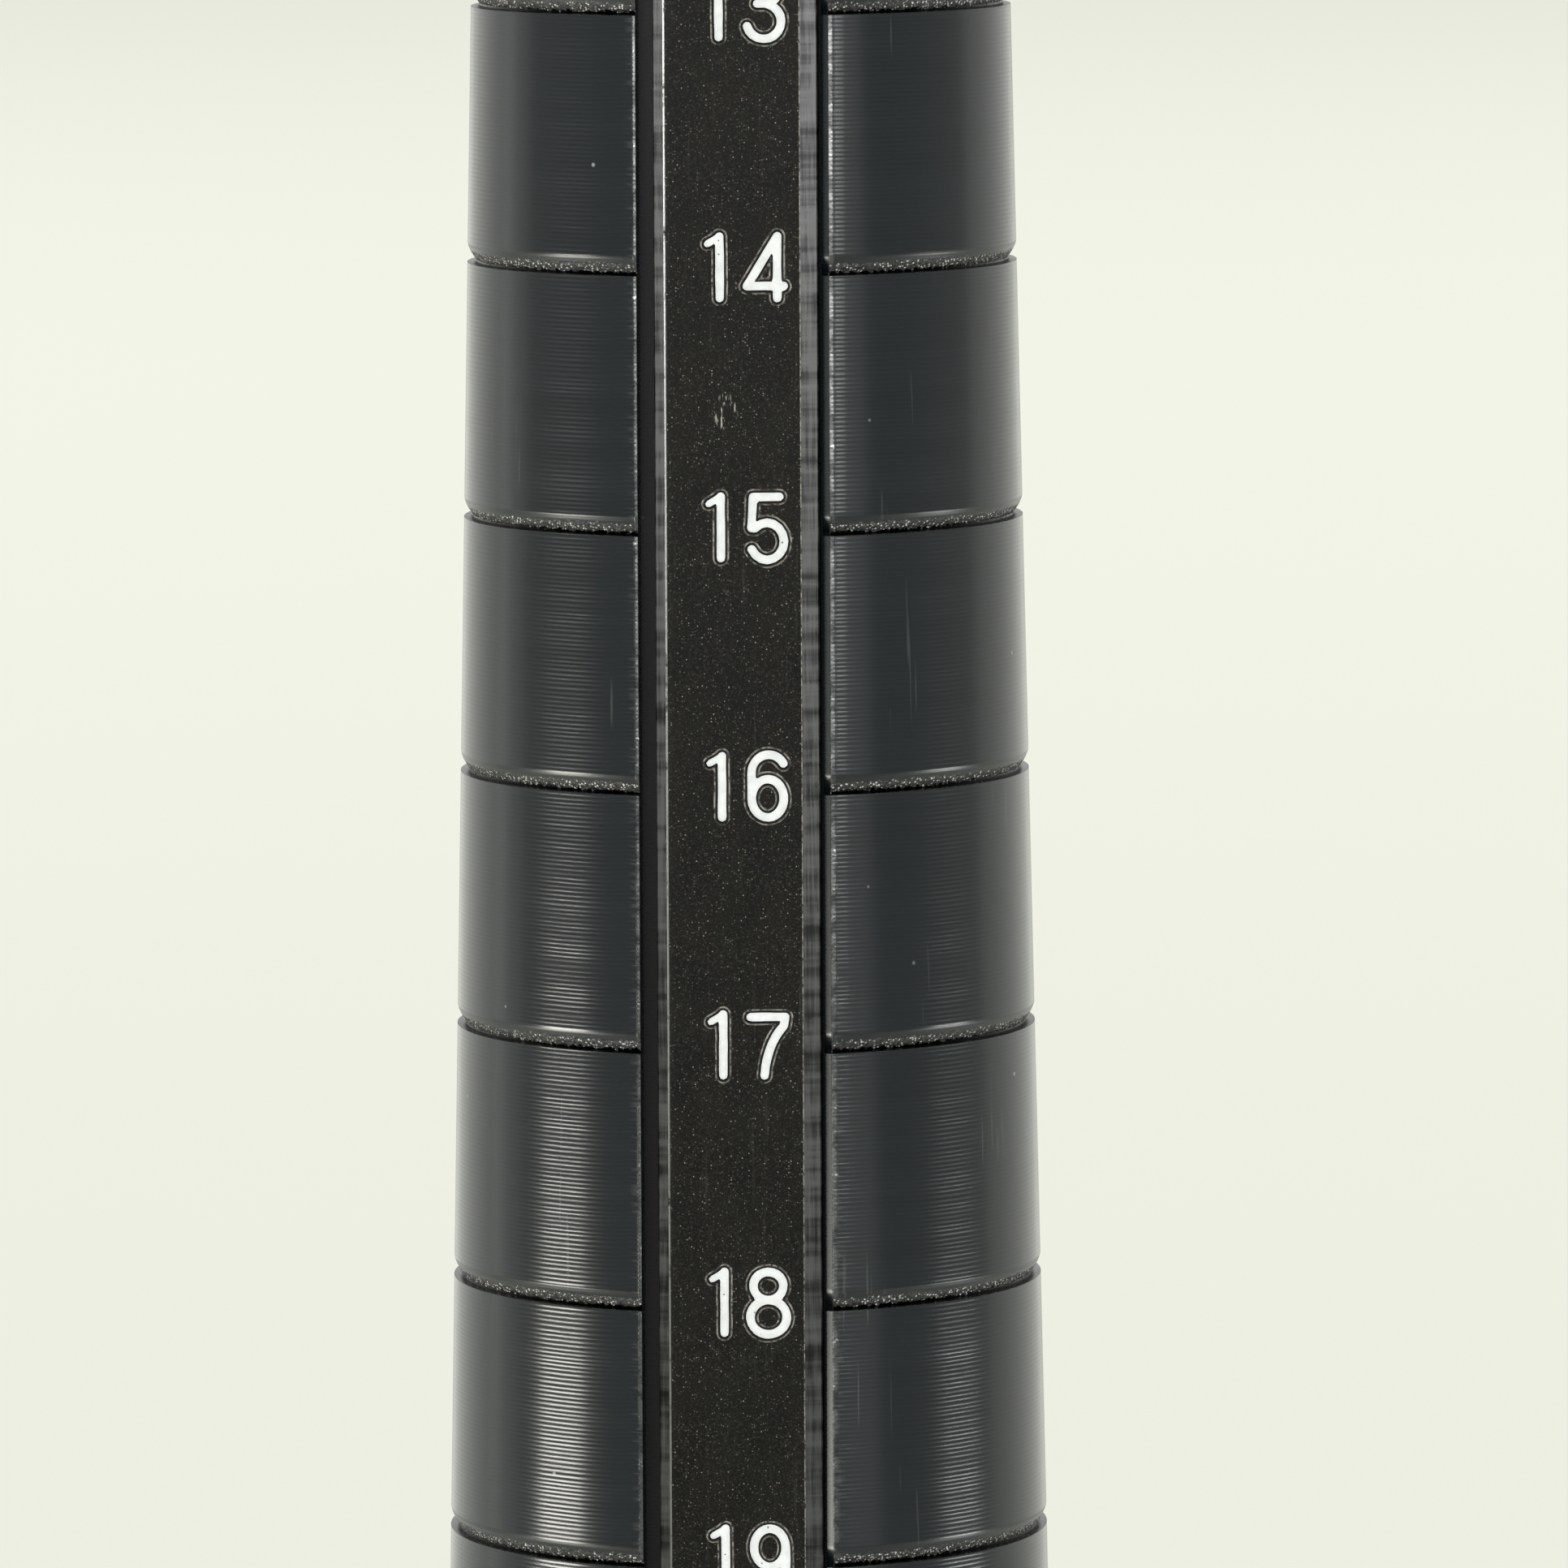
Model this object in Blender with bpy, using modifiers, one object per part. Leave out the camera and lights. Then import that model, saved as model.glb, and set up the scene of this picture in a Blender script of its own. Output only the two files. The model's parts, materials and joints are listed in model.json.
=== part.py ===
"""Ring mandrel: a tapered, grooved size stick with a number strip, on a turned handle.

Run with blender --background --python part.py, or from Blender's text editor.
Metres, +Z up. The origin is the centre of the foot, the small end points up, and
the number strip faces -Y.
"""

import math

import bmesh
import bpy

MM = 0.001

# Ring sizes: each size is a third of a millimetre more across
SIZE_COUNT = 30
SIZE_1_DIAMETER = 13.0 * MM
SIZE_STEP = MM / 3
SIZE_PITCH = 8.055 * MM
LARGEST_SIZE_Z = 104.0 * MM

# Tapered body
BODY_BASE_Z = 96.3 * MM
BODY_TIP_Z = 346.0 * MM
BODY_STEPS = 36
TIP_CHAMFER = 0.6 * MM
BASE_CHAMFER = 0.4 * MM
GROOVE_DEPTH = 0.26 * MM
GROOVE_FOOT = 0.1 * MM
GROOVE_FLOOR_TOP = 0.42 * MM
GROOVE_HEIGHT = 0.62 * MM
CENTRE_HOLE_RADIUS = 1.5 * MM
CENTRE_HOLE_DEPTH = 2.6 * MM
SPIGOT_RADIUS = 8.0 * MM
SPIGOT_END_Z = 70.0 * MM

# Channel and number strip; depths are measured below the taper's surface line
CHANNEL_WIDTH = 6.0 * MM
CHANNEL_DEPTH = 2.5 * MM
STRIP_FACE_DEPTH = 0.45 * MM
STRIP_THICKNESS = 1.2 * MM
STRIP_FACE_HALF_WIDTH = 2.1 * MM
STRIP_LEFT_BEVEL = 0.34 * MM
STRIP_RIGHT_BEVEL = 0.57 * MM
STRIP_BEVEL_DEPTH = 0.5 * MM
STRIP_BOTTOM_Z = 97.5 * MM
STRIP_TOP_Z = 345.0 * MM
ADHESIVE_THICKNESS = 0.25 * MM
ADHESIVE_WIDTH = 4.4 * MM
STRIP_SCREW_BASE_Z = 99.9 * MM
STRIP_SCREW_TIP_Z = 342.1 * MM
STRIP_SCREW_HEAD_RADIUS = 1.25 * MM
STRIP_SCREW_RADIUS = 0.6 * MM
STRIP_SCREW_LENGTH = 4.2 * MM
STRIP_SCREW_SINK = 0.08 * MM

# Ferrule
FERRULE_BOTTOM_Z = 88.3 * MM
FERRULE_TOP_Z = 96.0 * MM
FERRULE_RADIUS = 12.4 * MM
SET_SCREW_RADIUS = 1.5 * MM

# Handle
HANDLE_TOP_Z = 88.0 * MM
HANDLE_BOTTOM_Z = 1.2 * MM
HANDLE_STEPS = 40
HANDLE_STATIONS = (  # height and radius where the outline is level with the axis
    (88.0 * MM, 12.2 * MM),
    (84.0 * MM, 12.6 * MM),
    (49.0 * MM, 14.6 * MM),
    (18.0 * MM, 12.4 * MM),
    (4.6 * MM, 16.0 * MM),
    (1.2 * MM, 15.2 * MM),
)
GRIP_GROOVES = 6
GRIP_GROOVE_PITCH = 6.0 * MM
GRIP_GROOVE_CENTRE_Z = 49.0 * MM
GRIP_GROOVE_HALF_HEIGHT = 1.2 * MM
GRIP_GROOVE_DEPTH = 0.8 * MM
SOCKET_FLOOR_Z = 69.4 * MM
COUNTERBORE_RADIUS = 6.6 * MM
COUNTERBORE_TOP_Z = 20.3 * MM

# Foot pad
PAD_RADIUS = 13.6 * MM
PAD_THICKNESS = 2.6 * MM
PAD_EDGE = 0.4 * MM

# Fixings inside the handle
BOLT_RADIUS = 3.0 * MM
BOLT_HEAD_RADIUS = 5.0 * MM
BOLT_HEAD_HEIGHT = 6.0 * MM
BOLT_END_Z = 90.5 * MM
HEX_SOCKET_RADIUS = 2.887 * MM
HEX_SOCKET_DEPTH = 3.0 * MM
WASHER_RADIUS = 6.1 * MM
WASHER_THICKNESS = 1.2 * MM
LOCK_WASHER_RADIUS = 5.2 * MM
LOCK_WASHER_THICKNESS = 1.5 * MM
LOCK_WASHER_SLIT = 0.8 * MM
INSERT_RADIUS = 4.3 * MM
INSERT_BOTTOM_Z = 72.0 * MM
INSERT_TOP_Z = 90.0 * MM

FIT_GAP = 0.3 * MM
MERGE_DISTANCE = 0.001 * MM
ROUND_STEPS = 24
SMOOTH_ANGLE = math.radians(30)

TAPER_ANGLE = math.atan(SIZE_STEP / 2 / SIZE_PITCH)
STRIP_LENGTH = (STRIP_TOP_Z - STRIP_BOTTOM_Z) / math.cos(TAPER_ANGLE)
STRIP_MIDDLE_Z = (STRIP_TOP_Z + STRIP_BOTTOM_Z) / 2


def size_z(size):
    """Height of the lower edge of a size's groove."""
    return LARGEST_SIZE_Z + (SIZE_COUNT - size) * SIZE_PITCH


def taper_radius(z):
    """Radius of the taper at a height, so that each groove's lower edge has its size."""
    size = SIZE_COUNT - (z - LARGEST_SIZE_Z) / SIZE_PITCH
    return (SIZE_1_DIAMETER + SIZE_STEP * (size - 1)) / 2


def clear_scene():
    for obj in list(bpy.data.objects):
        bpy.data.objects.remove(obj, do_unlink=True)


def new_collection(name):
    collection = bpy.data.collections.new(name)
    bpy.context.scene.collection.children.link(collection)
    return collection


def new_material(name, color, roughness, metallic):
    material = bpy.data.materials.new(name)
    material.use_nodes = True
    shader = material.node_tree.nodes["Principled BSDF"]
    shader.inputs["Base Color"].default_value = (*color, 1.0)
    shader.inputs["Roughness"].default_value = roughness
    shader.inputs["Metallic"].default_value = metallic
    return material


def mesh_object(name, mesh, collection, material=None):
    obj = bpy.data.objects.new(name, mesh)
    collection.objects.link(obj)
    if material:
        mesh.materials.append(material)
    return obj


def baked_mesh(obj, name):
    """The evaluated mesh of an object, welded and with its sharp edges marked."""
    bpy.context.view_layer.update()
    depsgraph = bpy.context.evaluated_depsgraph_get()
    mesh = bpy.data.meshes.new_from_object(obj.evaluated_get(depsgraph))
    mesh.name = name
    work = bmesh.new()
    work.from_mesh(mesh)
    bmesh.ops.remove_doubles(work, verts=work.verts, dist=MERGE_DISTANCE)
    work.to_mesh(mesh)
    work.free()
    mesh.shade_smooth()
    mesh.set_sharp_from_angle(angle=SMOOTH_ANGLE)
    return mesh


def turned(name, profile, steps, collection, material=None):
    """A profile of (radius, height) points, run down its outer side, turned about Z."""
    line = bpy.data.meshes.new(name + "_profile")
    edges = [(i, i + 1) for i in range(len(profile) - 1)]
    if profile[0][0] > 0:
        edges.append((len(profile) - 1, 0))
    line.from_pydata([(radius, 0.0, z) for radius, z in profile], edges, [])
    spun = mesh_object(name + "_spun", line, collection)
    screw = spun.modifiers.new("turn", "SCREW")
    screw.axis = "Z"
    screw.steps = steps
    screw.render_steps = steps
    screw.use_merge_vertices = True
    screw.merge_threshold = MERGE_DISTANCE
    mesh = baked_mesh(spun, name)
    bpy.data.objects.remove(spun, do_unlink=True)
    return mesh_object(name, mesh, collection, material)


def prism(name, outline, length, collection, material=None):
    """A flat outline in X and Y, filled and extruded to a length centred on Z."""
    curve = bpy.data.curves.new(name + "_outline", "CURVE")
    curve.dimensions = "2D"
    curve.fill_mode = "BOTH"
    curve.extrude = length / 2
    spline = curve.splines.new("POLY")
    spline.points.add(len(outline) - 1)
    for point, (x, y) in zip(spline.points, outline):
        point.co = (x, y, 0.0, 1.0)
    spline.use_cyclic_u = True
    flat = bpy.data.objects.new(name + "_flat", curve)
    collection.objects.link(flat)
    mesh = baked_mesh(flat, name)
    bpy.data.objects.remove(flat, do_unlink=True)
    return mesh_object(name, mesh, collection, material)


def box(name, size, centre, collection, material=None):
    """A box with its own measures in the mesh, so that its scale stays 1."""
    mesh = bpy.data.meshes.new(name)
    work = bmesh.new()
    bmesh.ops.create_cube(work, size=1.0)
    bmesh.ops.scale(work, vec=size, verts=work.verts)
    bmesh.ops.translate(work, vec=centre, verts=work.verts)
    work.to_mesh(mesh)
    work.free()
    return mesh_object(name, mesh, collection, material)


def cylinder(name, radius, bottom, top, sides, collection, material=None):
    """A capped cylinder between two heights on Z."""
    mesh = bpy.data.meshes.new(name)
    work = bmesh.new()
    bmesh.ops.create_cone(
        work, cap_ends=True, segments=sides, radius1=radius, radius2=radius, depth=top - bottom
    )
    bmesh.ops.translate(work, vec=(0, 0, (top + bottom) / 2), verts=work.verts)
    work.to_mesh(mesh)
    work.free()
    mesh.shade_smooth()
    mesh.set_sharp_from_angle(angle=SMOOTH_ANGLE)
    return mesh_object(name, mesh, collection, material)


def cut(obj, *tools):
    for tool in tools:
        tool.hide_render = True
        tool.display_type = "WIRE"
        boolean = obj.modifiers.new("cut_" + tool.name, "BOOLEAN")
        boolean.operation = "DIFFERENCE"
        boolean.solver = "EXACT"
        boolean.object = tool


def strip_empty(parts):
    """An empty on the taper's front line: its Z runs along the strip, its -Y points out of it."""
    empty = bpy.data.objects.new("strip_line", None)
    empty.location = (0.0, -taper_radius(STRIP_MIDDLE_Z), STRIP_MIDDLE_Z)
    empty.rotation_euler = (-TAPER_ANGLE, 0.0, 0.0)
    parts.objects.link(empty)
    return empty


def along_strip(z):
    """Distance along the strip's line of a point at a height."""
    return (z - STRIP_MIDDLE_Z) / math.cos(TAPER_ANGLE)


def body_profile():
    tip_radius = taper_radius(BODY_TIP_Z)
    points = [
        (0.0, BODY_TIP_Z - CENTRE_HOLE_DEPTH),
        (CENTRE_HOLE_RADIUS, BODY_TIP_Z),
        (tip_radius - TIP_CHAMFER, BODY_TIP_Z),
        (tip_radius, BODY_TIP_Z - TIP_CHAMFER),
    ]
    for size in range(1, SIZE_COUNT + 1):
        edge = size_z(size)
        floor_radius = taper_radius(edge) - GROOVE_DEPTH
        points += [
            (taper_radius(edge + GROOVE_HEIGHT), edge + GROOVE_HEIGHT),
            (floor_radius, edge + GROOVE_FLOOR_TOP),
            (floor_radius, edge + GROOVE_FOOT),
            (taper_radius(edge), edge),
        ]
    base_radius = taper_radius(BODY_BASE_Z)
    bore_radius = INSERT_RADIUS + FIT_GAP
    points += [
        (base_radius, BODY_BASE_Z + BASE_CHAMFER),
        (base_radius - BASE_CHAMFER, BODY_BASE_Z),
        (SPIGOT_RADIUS, BODY_BASE_Z),
        (SPIGOT_RADIUS, SPIGOT_END_Z + BASE_CHAMFER),
        (SPIGOT_RADIUS - BASE_CHAMFER, SPIGOT_END_Z),
        (bore_radius, SPIGOT_END_Z),
        (bore_radius, INSERT_TOP_Z + 2 * MM),
        (0.0, INSERT_TOP_Z + 2 * MM),
    ]
    return points


def tapered_body(parts, cutters, line, material):
    body = turned("tapered_body", body_profile(), BODY_STEPS, parts, material)
    reach = 5 * MM
    channel = box(
        "channel_cutter",
        (CHANNEL_WIDTH, CHANNEL_DEPTH + reach, STRIP_LENGTH + 2 * reach),
        (0.0, (CHANNEL_DEPTH - reach) / 2, 0.0),
        cutters,
    )
    channel.parent = line
    pilots = []
    for place, z in (("base", STRIP_SCREW_BASE_Z), ("tip", STRIP_SCREW_TIP_Z)):
        radius = STRIP_SCREW_RADIUS + FIT_GAP
        end = STRIP_FACE_DEPTH + STRIP_SCREW_LENGTH + FIT_GAP
        pilot = cylinder("pilot_cutter_" + place, radius, -end, reach, 12, cutters)
        place_screw(pilot, line, z, 0.0)
        pilots.append(pilot)
    cut(body, channel, *pilots)


def place_screw(obj, line, z, depth):
    """Stand a turned piece on the strip's line, its +Z pointing out of the strip."""
    obj.parent = line
    obj.location = (0.0, depth, along_strip(z))
    obj.rotation_euler = (math.radians(90), 0.0, 0.0)


def countersink_profile(grow):
    """Outline of a countersunk screw with its head's top at height 0, grown by a clearance."""
    head = STRIP_SCREW_HEAD_RADIUS + grow
    shank = STRIP_SCREW_RADIUS + grow
    rim = -0.1 * MM
    return [(head, rim), (shank, rim - (head - shank))]


def number_strip(parts, cutters, line, material):
    left = -STRIP_FACE_HALF_WIDTH - STRIP_LEFT_BEVEL
    right = STRIP_FACE_HALF_WIDTH + STRIP_RIGHT_BEVEL
    face = STRIP_FACE_DEPTH
    shoulder = STRIP_FACE_DEPTH + STRIP_BEVEL_DEPTH
    back = STRIP_FACE_DEPTH + STRIP_THICKNESS
    outline = [
        (-STRIP_FACE_HALF_WIDTH, face),
        (STRIP_FACE_HALF_WIDTH, face),
        (right, shoulder),
        (right, back),
        (left, back),
        (left, shoulder),
    ]
    strip = prism("number_strip", outline, STRIP_LENGTH, parts, material)
    strip.parent = line
    for place, z in (("base", STRIP_SCREW_BASE_Z), ("tip", STRIP_SCREW_TIP_Z)):
        (head, rim), (shank, neck) = countersink_profile(FIT_GAP)
        profile = [(0.0, MM), (head, MM), (head, rim), (shank, neck), (shank, -3 * MM), (0.0, -3 * MM)]
        sink = turned("countersink_cutter_" + place, profile, ROUND_STEPS, cutters)
        place_screw(sink, line, z, STRIP_FACE_DEPTH + STRIP_SCREW_SINK)
        cut(strip, sink)


def strip_adhesive(parts, cutters, line, material):
    middle = STRIP_FACE_DEPTH + STRIP_THICKNESS + FIT_GAP + ADHESIVE_THICKNESS / 2
    film = box(
        "strip_adhesive",
        (ADHESIVE_WIDTH, ADHESIVE_THICKNESS, STRIP_LENGTH - 1 * MM),
        (0.0, middle, 0.0),
        parts,
        material,
    )
    film.parent = line
    for place, z in (("base", STRIP_SCREW_BASE_Z), ("tip", STRIP_SCREW_TIP_Z)):
        radius = STRIP_SCREW_RADIUS + FIT_GAP
        hole = cylinder("film_cutter_" + place, radius, -5 * MM, 5 * MM, 12, cutters)
        place_screw(hole, line, z, 0.0)
        cut(film, hole)


def strip_screw(place, z, parts, cutters, line, material):
    (head, rim), (shank, neck) = countersink_profile(0.0)
    profile = [
        (0.0, 0.0),
        (head, 0.0),
        (head, rim),
        (shank, neck),
        (shank, -STRIP_SCREW_LENGTH + shank),
        (0.0, -STRIP_SCREW_LENGTH),
    ]
    screw = turned("strip_screw_" + place, profile, 16, parts, material)
    place_screw(screw, line, z, STRIP_FACE_DEPTH + STRIP_SCREW_SINK)
    for turn in (0, 90):
        bar = box(
            f"cross_cutter_{place}_{turn}",
            (1.5 * MM, 0.32 * MM, 1.0 * MM),
            (0.0, 0.0, 0.1 * MM),
            cutters,
        )
        bar.parent = screw
        bar.rotation_euler = (0.0, 0.0, math.radians(turn + 20))
        cut(screw, bar)


def ferrule(parts, cutters, material):
    inner = SPIGOT_RADIUS + FIT_GAP
    middle = (FERRULE_BOTTOM_Z + FERRULE_TOP_Z) / 2
    bead = 0.5 * MM
    profile = [
        (inner, FERRULE_TOP_Z),
        (FERRULE_RADIUS - 0.9 * MM, FERRULE_TOP_Z),
        (FERRULE_RADIUS - 0.2 * MM, FERRULE_TOP_Z - 0.7 * MM),
        (FERRULE_RADIUS - 0.2 * MM, middle + 2 * bead),
        (FERRULE_RADIUS - 0.6 * MM, middle + 1.4 * bead),
        (FERRULE_RADIUS - 0.6 * MM, middle + 0.6 * bead),
        (FERRULE_RADIUS, middle),
        (FERRULE_RADIUS, FERRULE_BOTTOM_Z + 0.4 * MM),
        (FERRULE_RADIUS - 0.4 * MM, FERRULE_BOTTOM_Z),
        (inner, FERRULE_BOTTOM_Z),
    ]
    ring = turned("ferrule", profile, HANDLE_STEPS, parts, material)
    hole = cylinder("set_screw_cutter", SET_SCREW_RADIUS + FIT_GAP, 0.0, 20 * MM, 16, cutters)
    hole.location = (0.0, 0.0, set_screw_z())
    hole.rotation_euler = (math.radians(-90), 0.0, 0.0)
    cut(ring, hole)


def set_screw_z():
    return FERRULE_BOTTOM_Z + 2.2 * MM


def ferrule_set_screw(parts, cutters, material):
    inner = SPIGOT_RADIUS + FIT_GAP
    outer = FERRULE_RADIUS - 0.3 * MM
    screw = cylinder("ferrule_set_screw", SET_SCREW_RADIUS, inner, outer, 16, parts, material)
    screw.location = (0.0, 0.0, set_screw_z())
    screw.rotation_euler = (math.radians(-90), 0.0, 0.0)
    socket = cylinder("set_screw_hex_cutter", 0.8 * MM, outer - 1.6 * MM, outer + MM, 6, cutters)
    socket.parent = screw
    cut(screw, socket)


def threaded_insert(parts, material):
    bore = BOLT_RADIUS + FIT_GAP
    collar = 0.4 * MM
    profile = [
        (bore, INSERT_TOP_Z),
        (INSERT_RADIUS - collar, INSERT_TOP_Z),
        (INSERT_RADIUS, INSERT_TOP_Z - collar),
        (INSERT_RADIUS, INSERT_BOTTOM_Z),
        (bore, INSERT_BOTTOM_Z),
    ]
    turned("threaded_insert", profile, ROUND_STEPS, parts, material)


def handle_radius(z):
    """Outline of the handle: eased between stations, with the grip grooves taken out."""
    radius = HANDLE_STATIONS[0][1]
    for (upper, upper_radius), (lower, lower_radius) in zip(HANDLE_STATIONS, HANDLE_STATIONS[1:]):
        if lower <= z <= upper:
            share = (upper - z) / (upper - lower)
            ease = (1 - math.cos(math.pi * share)) / 2
            radius = upper_radius + (lower_radius - upper_radius) * ease
    return radius


def grip_groove_heights():
    first = GRIP_GROOVE_CENTRE_Z + GRIP_GROOVE_PITCH * (GRIP_GROOVES - 1) / 2
    return [first - GRIP_GROOVE_PITCH * i for i in range(GRIP_GROOVES)]


def handle_profile():
    heights = []
    for (upper, _), (lower, _) in zip(HANDLE_STATIONS, HANDLE_STATIONS[1:]):
        pieces = max(2, round((upper - lower) / (5 * MM)))
        heights += [upper - (upper - lower) * i / pieces for i in range(pieces)]
    heights.append(HANDLE_BOTTOM_Z)
    outer = [(handle_radius(z), z) for z in heights]
    for middle in grip_groove_heights():
        top = middle + GRIP_GROOVE_HALF_HEIGHT
        bottom = middle - GRIP_GROOVE_HALF_HEIGHT
        outer = [point for point in outer if not bottom - MM < point[1] < top + MM]
        outer += [
            (handle_radius(top), top),
            (handle_radius(middle) - GRIP_GROOVE_DEPTH, middle + GRIP_GROOVE_HALF_HEIGHT / 3),
            (handle_radius(middle) - GRIP_GROOVE_DEPTH, middle - GRIP_GROOVE_HALF_HEIGHT / 3),
            (handle_radius(bottom), bottom),
        ]
    outer.sort(key=lambda point: -point[1])
    socket = SPIGOT_RADIUS + FIT_GAP
    bolt_hole = BOLT_RADIUS + FIT_GAP
    pad_recess = PAD_RADIUS + FIT_GAP
    pad_ceiling = PAD_THICKNESS + FIT_GAP
    inner = [
        (pad_recess, HANDLE_BOTTOM_Z),
        (pad_recess, pad_ceiling),
        (COUNTERBORE_RADIUS, pad_ceiling),
        (COUNTERBORE_RADIUS, COUNTERBORE_TOP_Z),
        (bolt_hole, COUNTERBORE_TOP_Z),
        (bolt_hole, SOCKET_FLOOR_Z),
        (socket, SOCKET_FLOOR_Z),
        (socket, HANDLE_TOP_Z),
    ]
    return outer + inner


def handle_grip(parts, material):
    turned("handle_grip", handle_profile(), HANDLE_STEPS, parts, material)


def washer_ceiling():
    return COUNTERBORE_TOP_Z - FIT_GAP


def lock_washer_top():
    return washer_ceiling() - WASHER_THICKNESS - FIT_GAP


def bolt_head_top():
    return lock_washer_top() - LOCK_WASHER_THICKNESS - FIT_GAP


def washer(name, radius, top, thickness, parts, material):
    bore = BOLT_RADIUS + FIT_GAP
    profile = [(bore, top), (radius, top), (radius, top - thickness), (bore, top - thickness)]
    return turned(name, profile, ROUND_STEPS, parts, material)


def handle_bolt(parts, cutters, material):
    top = bolt_head_top()
    bottom = top - BOLT_HEAD_HEIGHT
    tip = BOLT_RADIUS * 0.8
    profile = [
        (0.0, BOLT_END_Z),
        (tip, BOLT_END_Z),
        (BOLT_RADIUS, BOLT_END_Z - (BOLT_RADIUS - tip)),
        (BOLT_RADIUS, top),
        (BOLT_HEAD_RADIUS, top),
        (BOLT_HEAD_RADIUS, bottom + 0.4 * MM),
        (BOLT_HEAD_RADIUS - 0.4 * MM, bottom),
        (0.0, bottom),
    ]
    bolt = turned("handle_bolt", profile, ROUND_STEPS, parts, material)
    hexagon = cylinder(
        "bolt_hex_cutter", HEX_SOCKET_RADIUS, bottom - MM, bottom + HEX_SOCKET_DEPTH, 6, cutters
    )
    cut(bolt, hexagon)


def lock_washer(parts, cutters, material):
    top = lock_washer_top()
    ring = washer("lock_washer", LOCK_WASHER_RADIUS, top, LOCK_WASHER_THICKNESS, parts, material)
    slit = box(
        "slit_cutter",
        (LOCK_WASHER_SLIT, 4 * MM, 4 * MM),
        (0.0, -LOCK_WASHER_RADIUS + MM, top - LOCK_WASHER_THICKNESS / 2),
        cutters,
    )
    cut(ring, slit)


def foot_pad(parts, material):
    profile = [
        (0.0, PAD_THICKNESS),
        (PAD_RADIUS, PAD_THICKNESS),
        (PAD_RADIUS, PAD_EDGE),
        (PAD_RADIUS - PAD_EDGE, 0.0),
        (0.0, 0.0),
    ]
    turned("foot_pad", profile, HANDLE_STEPS, parts, material)


def main():
    clear_scene()
    parts = new_collection("ring_mandrel")
    cutters = new_collection("cutters")
    body_black = new_material("turned_plastic", (0.018, 0.021, 0.024), 0.38, 0.0)
    strip_black = new_material("anodised_strip", (0.012, 0.011, 0.008), 0.5, 0.4)
    film_clear = new_material("adhesive_film", (0.6, 0.6, 0.58), 0.4, 0.0)
    screw_steel = new_material("blackened_screw", (0.05, 0.05, 0.05), 0.35, 1.0)
    ferrule_metal = new_material("ferrule_aluminium", (0.75, 0.76, 0.77), 0.3, 1.0)
    fixing_steel = new_material("fixing_steel", (0.55, 0.55, 0.56), 0.35, 1.0)
    insert_brass = new_material("insert_brass", (0.72, 0.53, 0.25), 0.3, 1.0)
    handle_black = new_material("handle_plastic", (0.02, 0.02, 0.022), 0.45, 0.0)
    pad_rubber = new_material("pad_rubber", (0.03, 0.03, 0.03), 0.85, 0.0)
    line = strip_empty(parts)
    tapered_body(parts, cutters, line, body_black)
    number_strip(parts, cutters, line, strip_black)
    strip_adhesive(parts, cutters, line, film_clear)
    strip_screw("base", STRIP_SCREW_BASE_Z, parts, cutters, line, screw_steel)
    strip_screw("tip", STRIP_SCREW_TIP_Z, parts, cutters, line, screw_steel)
    ferrule(parts, cutters, ferrule_metal)
    ferrule_set_screw(parts, cutters, screw_steel)
    threaded_insert(parts, insert_brass)
    handle_grip(parts, handle_black)
    washer("bolt_washer", WASHER_RADIUS, washer_ceiling(), WASHER_THICKNESS, parts, fixing_steel)
    lock_washer(parts, cutters, fixing_steel)
    handle_bolt(parts, cutters, fixing_steel)
    foot_pad(parts, pad_rubber)
    bpy.context.view_layer.update()


main()
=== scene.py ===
import json
import math
import bmesh
import bpy
import numpy as np
from mathutils import Matrix, Vector

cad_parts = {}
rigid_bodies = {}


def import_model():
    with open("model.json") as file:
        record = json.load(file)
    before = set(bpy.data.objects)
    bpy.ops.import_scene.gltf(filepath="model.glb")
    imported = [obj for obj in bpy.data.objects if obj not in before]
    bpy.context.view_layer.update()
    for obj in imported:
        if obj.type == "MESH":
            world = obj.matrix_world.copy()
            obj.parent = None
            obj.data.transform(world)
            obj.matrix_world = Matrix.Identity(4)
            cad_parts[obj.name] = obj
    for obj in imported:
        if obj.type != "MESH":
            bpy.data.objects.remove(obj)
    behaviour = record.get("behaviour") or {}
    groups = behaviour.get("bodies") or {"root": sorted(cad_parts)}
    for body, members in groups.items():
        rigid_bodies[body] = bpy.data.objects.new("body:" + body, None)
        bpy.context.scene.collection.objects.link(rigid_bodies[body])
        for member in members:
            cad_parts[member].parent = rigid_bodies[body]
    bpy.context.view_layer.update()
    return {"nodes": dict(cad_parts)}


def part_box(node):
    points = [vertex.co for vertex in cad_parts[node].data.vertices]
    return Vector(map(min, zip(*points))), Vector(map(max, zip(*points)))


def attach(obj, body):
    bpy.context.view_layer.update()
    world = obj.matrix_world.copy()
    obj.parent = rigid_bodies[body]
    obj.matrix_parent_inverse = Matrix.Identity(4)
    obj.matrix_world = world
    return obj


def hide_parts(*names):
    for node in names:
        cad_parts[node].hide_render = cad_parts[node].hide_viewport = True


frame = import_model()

# Everything below is in millimetres, and becomes metres when a mesh is written
mm = 0.001


def boxOf(node):
    low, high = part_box(node)
    return np.array(low) / mm, np.array(high) / mm


# The size law of the taper: each size is a third of a millimetre more across
sizeLaw = {
    "sizes": 30,
    "firstDiameter": 13.0,
    "sizeStep": 1 / 3,
    "pitch": 8.055,
    "lastSizeAt": 104.0,  # height of the largest size's edge
}
taperAngle = math.atan(sizeLaw["sizeStep"] / 2 / sizeLaw["pitch"])


def edgeHeight(size):
    return sizeLaw["lastSizeAt"] + (sizeLaw["sizes"] - size) * sizeLaw["pitch"]


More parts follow.
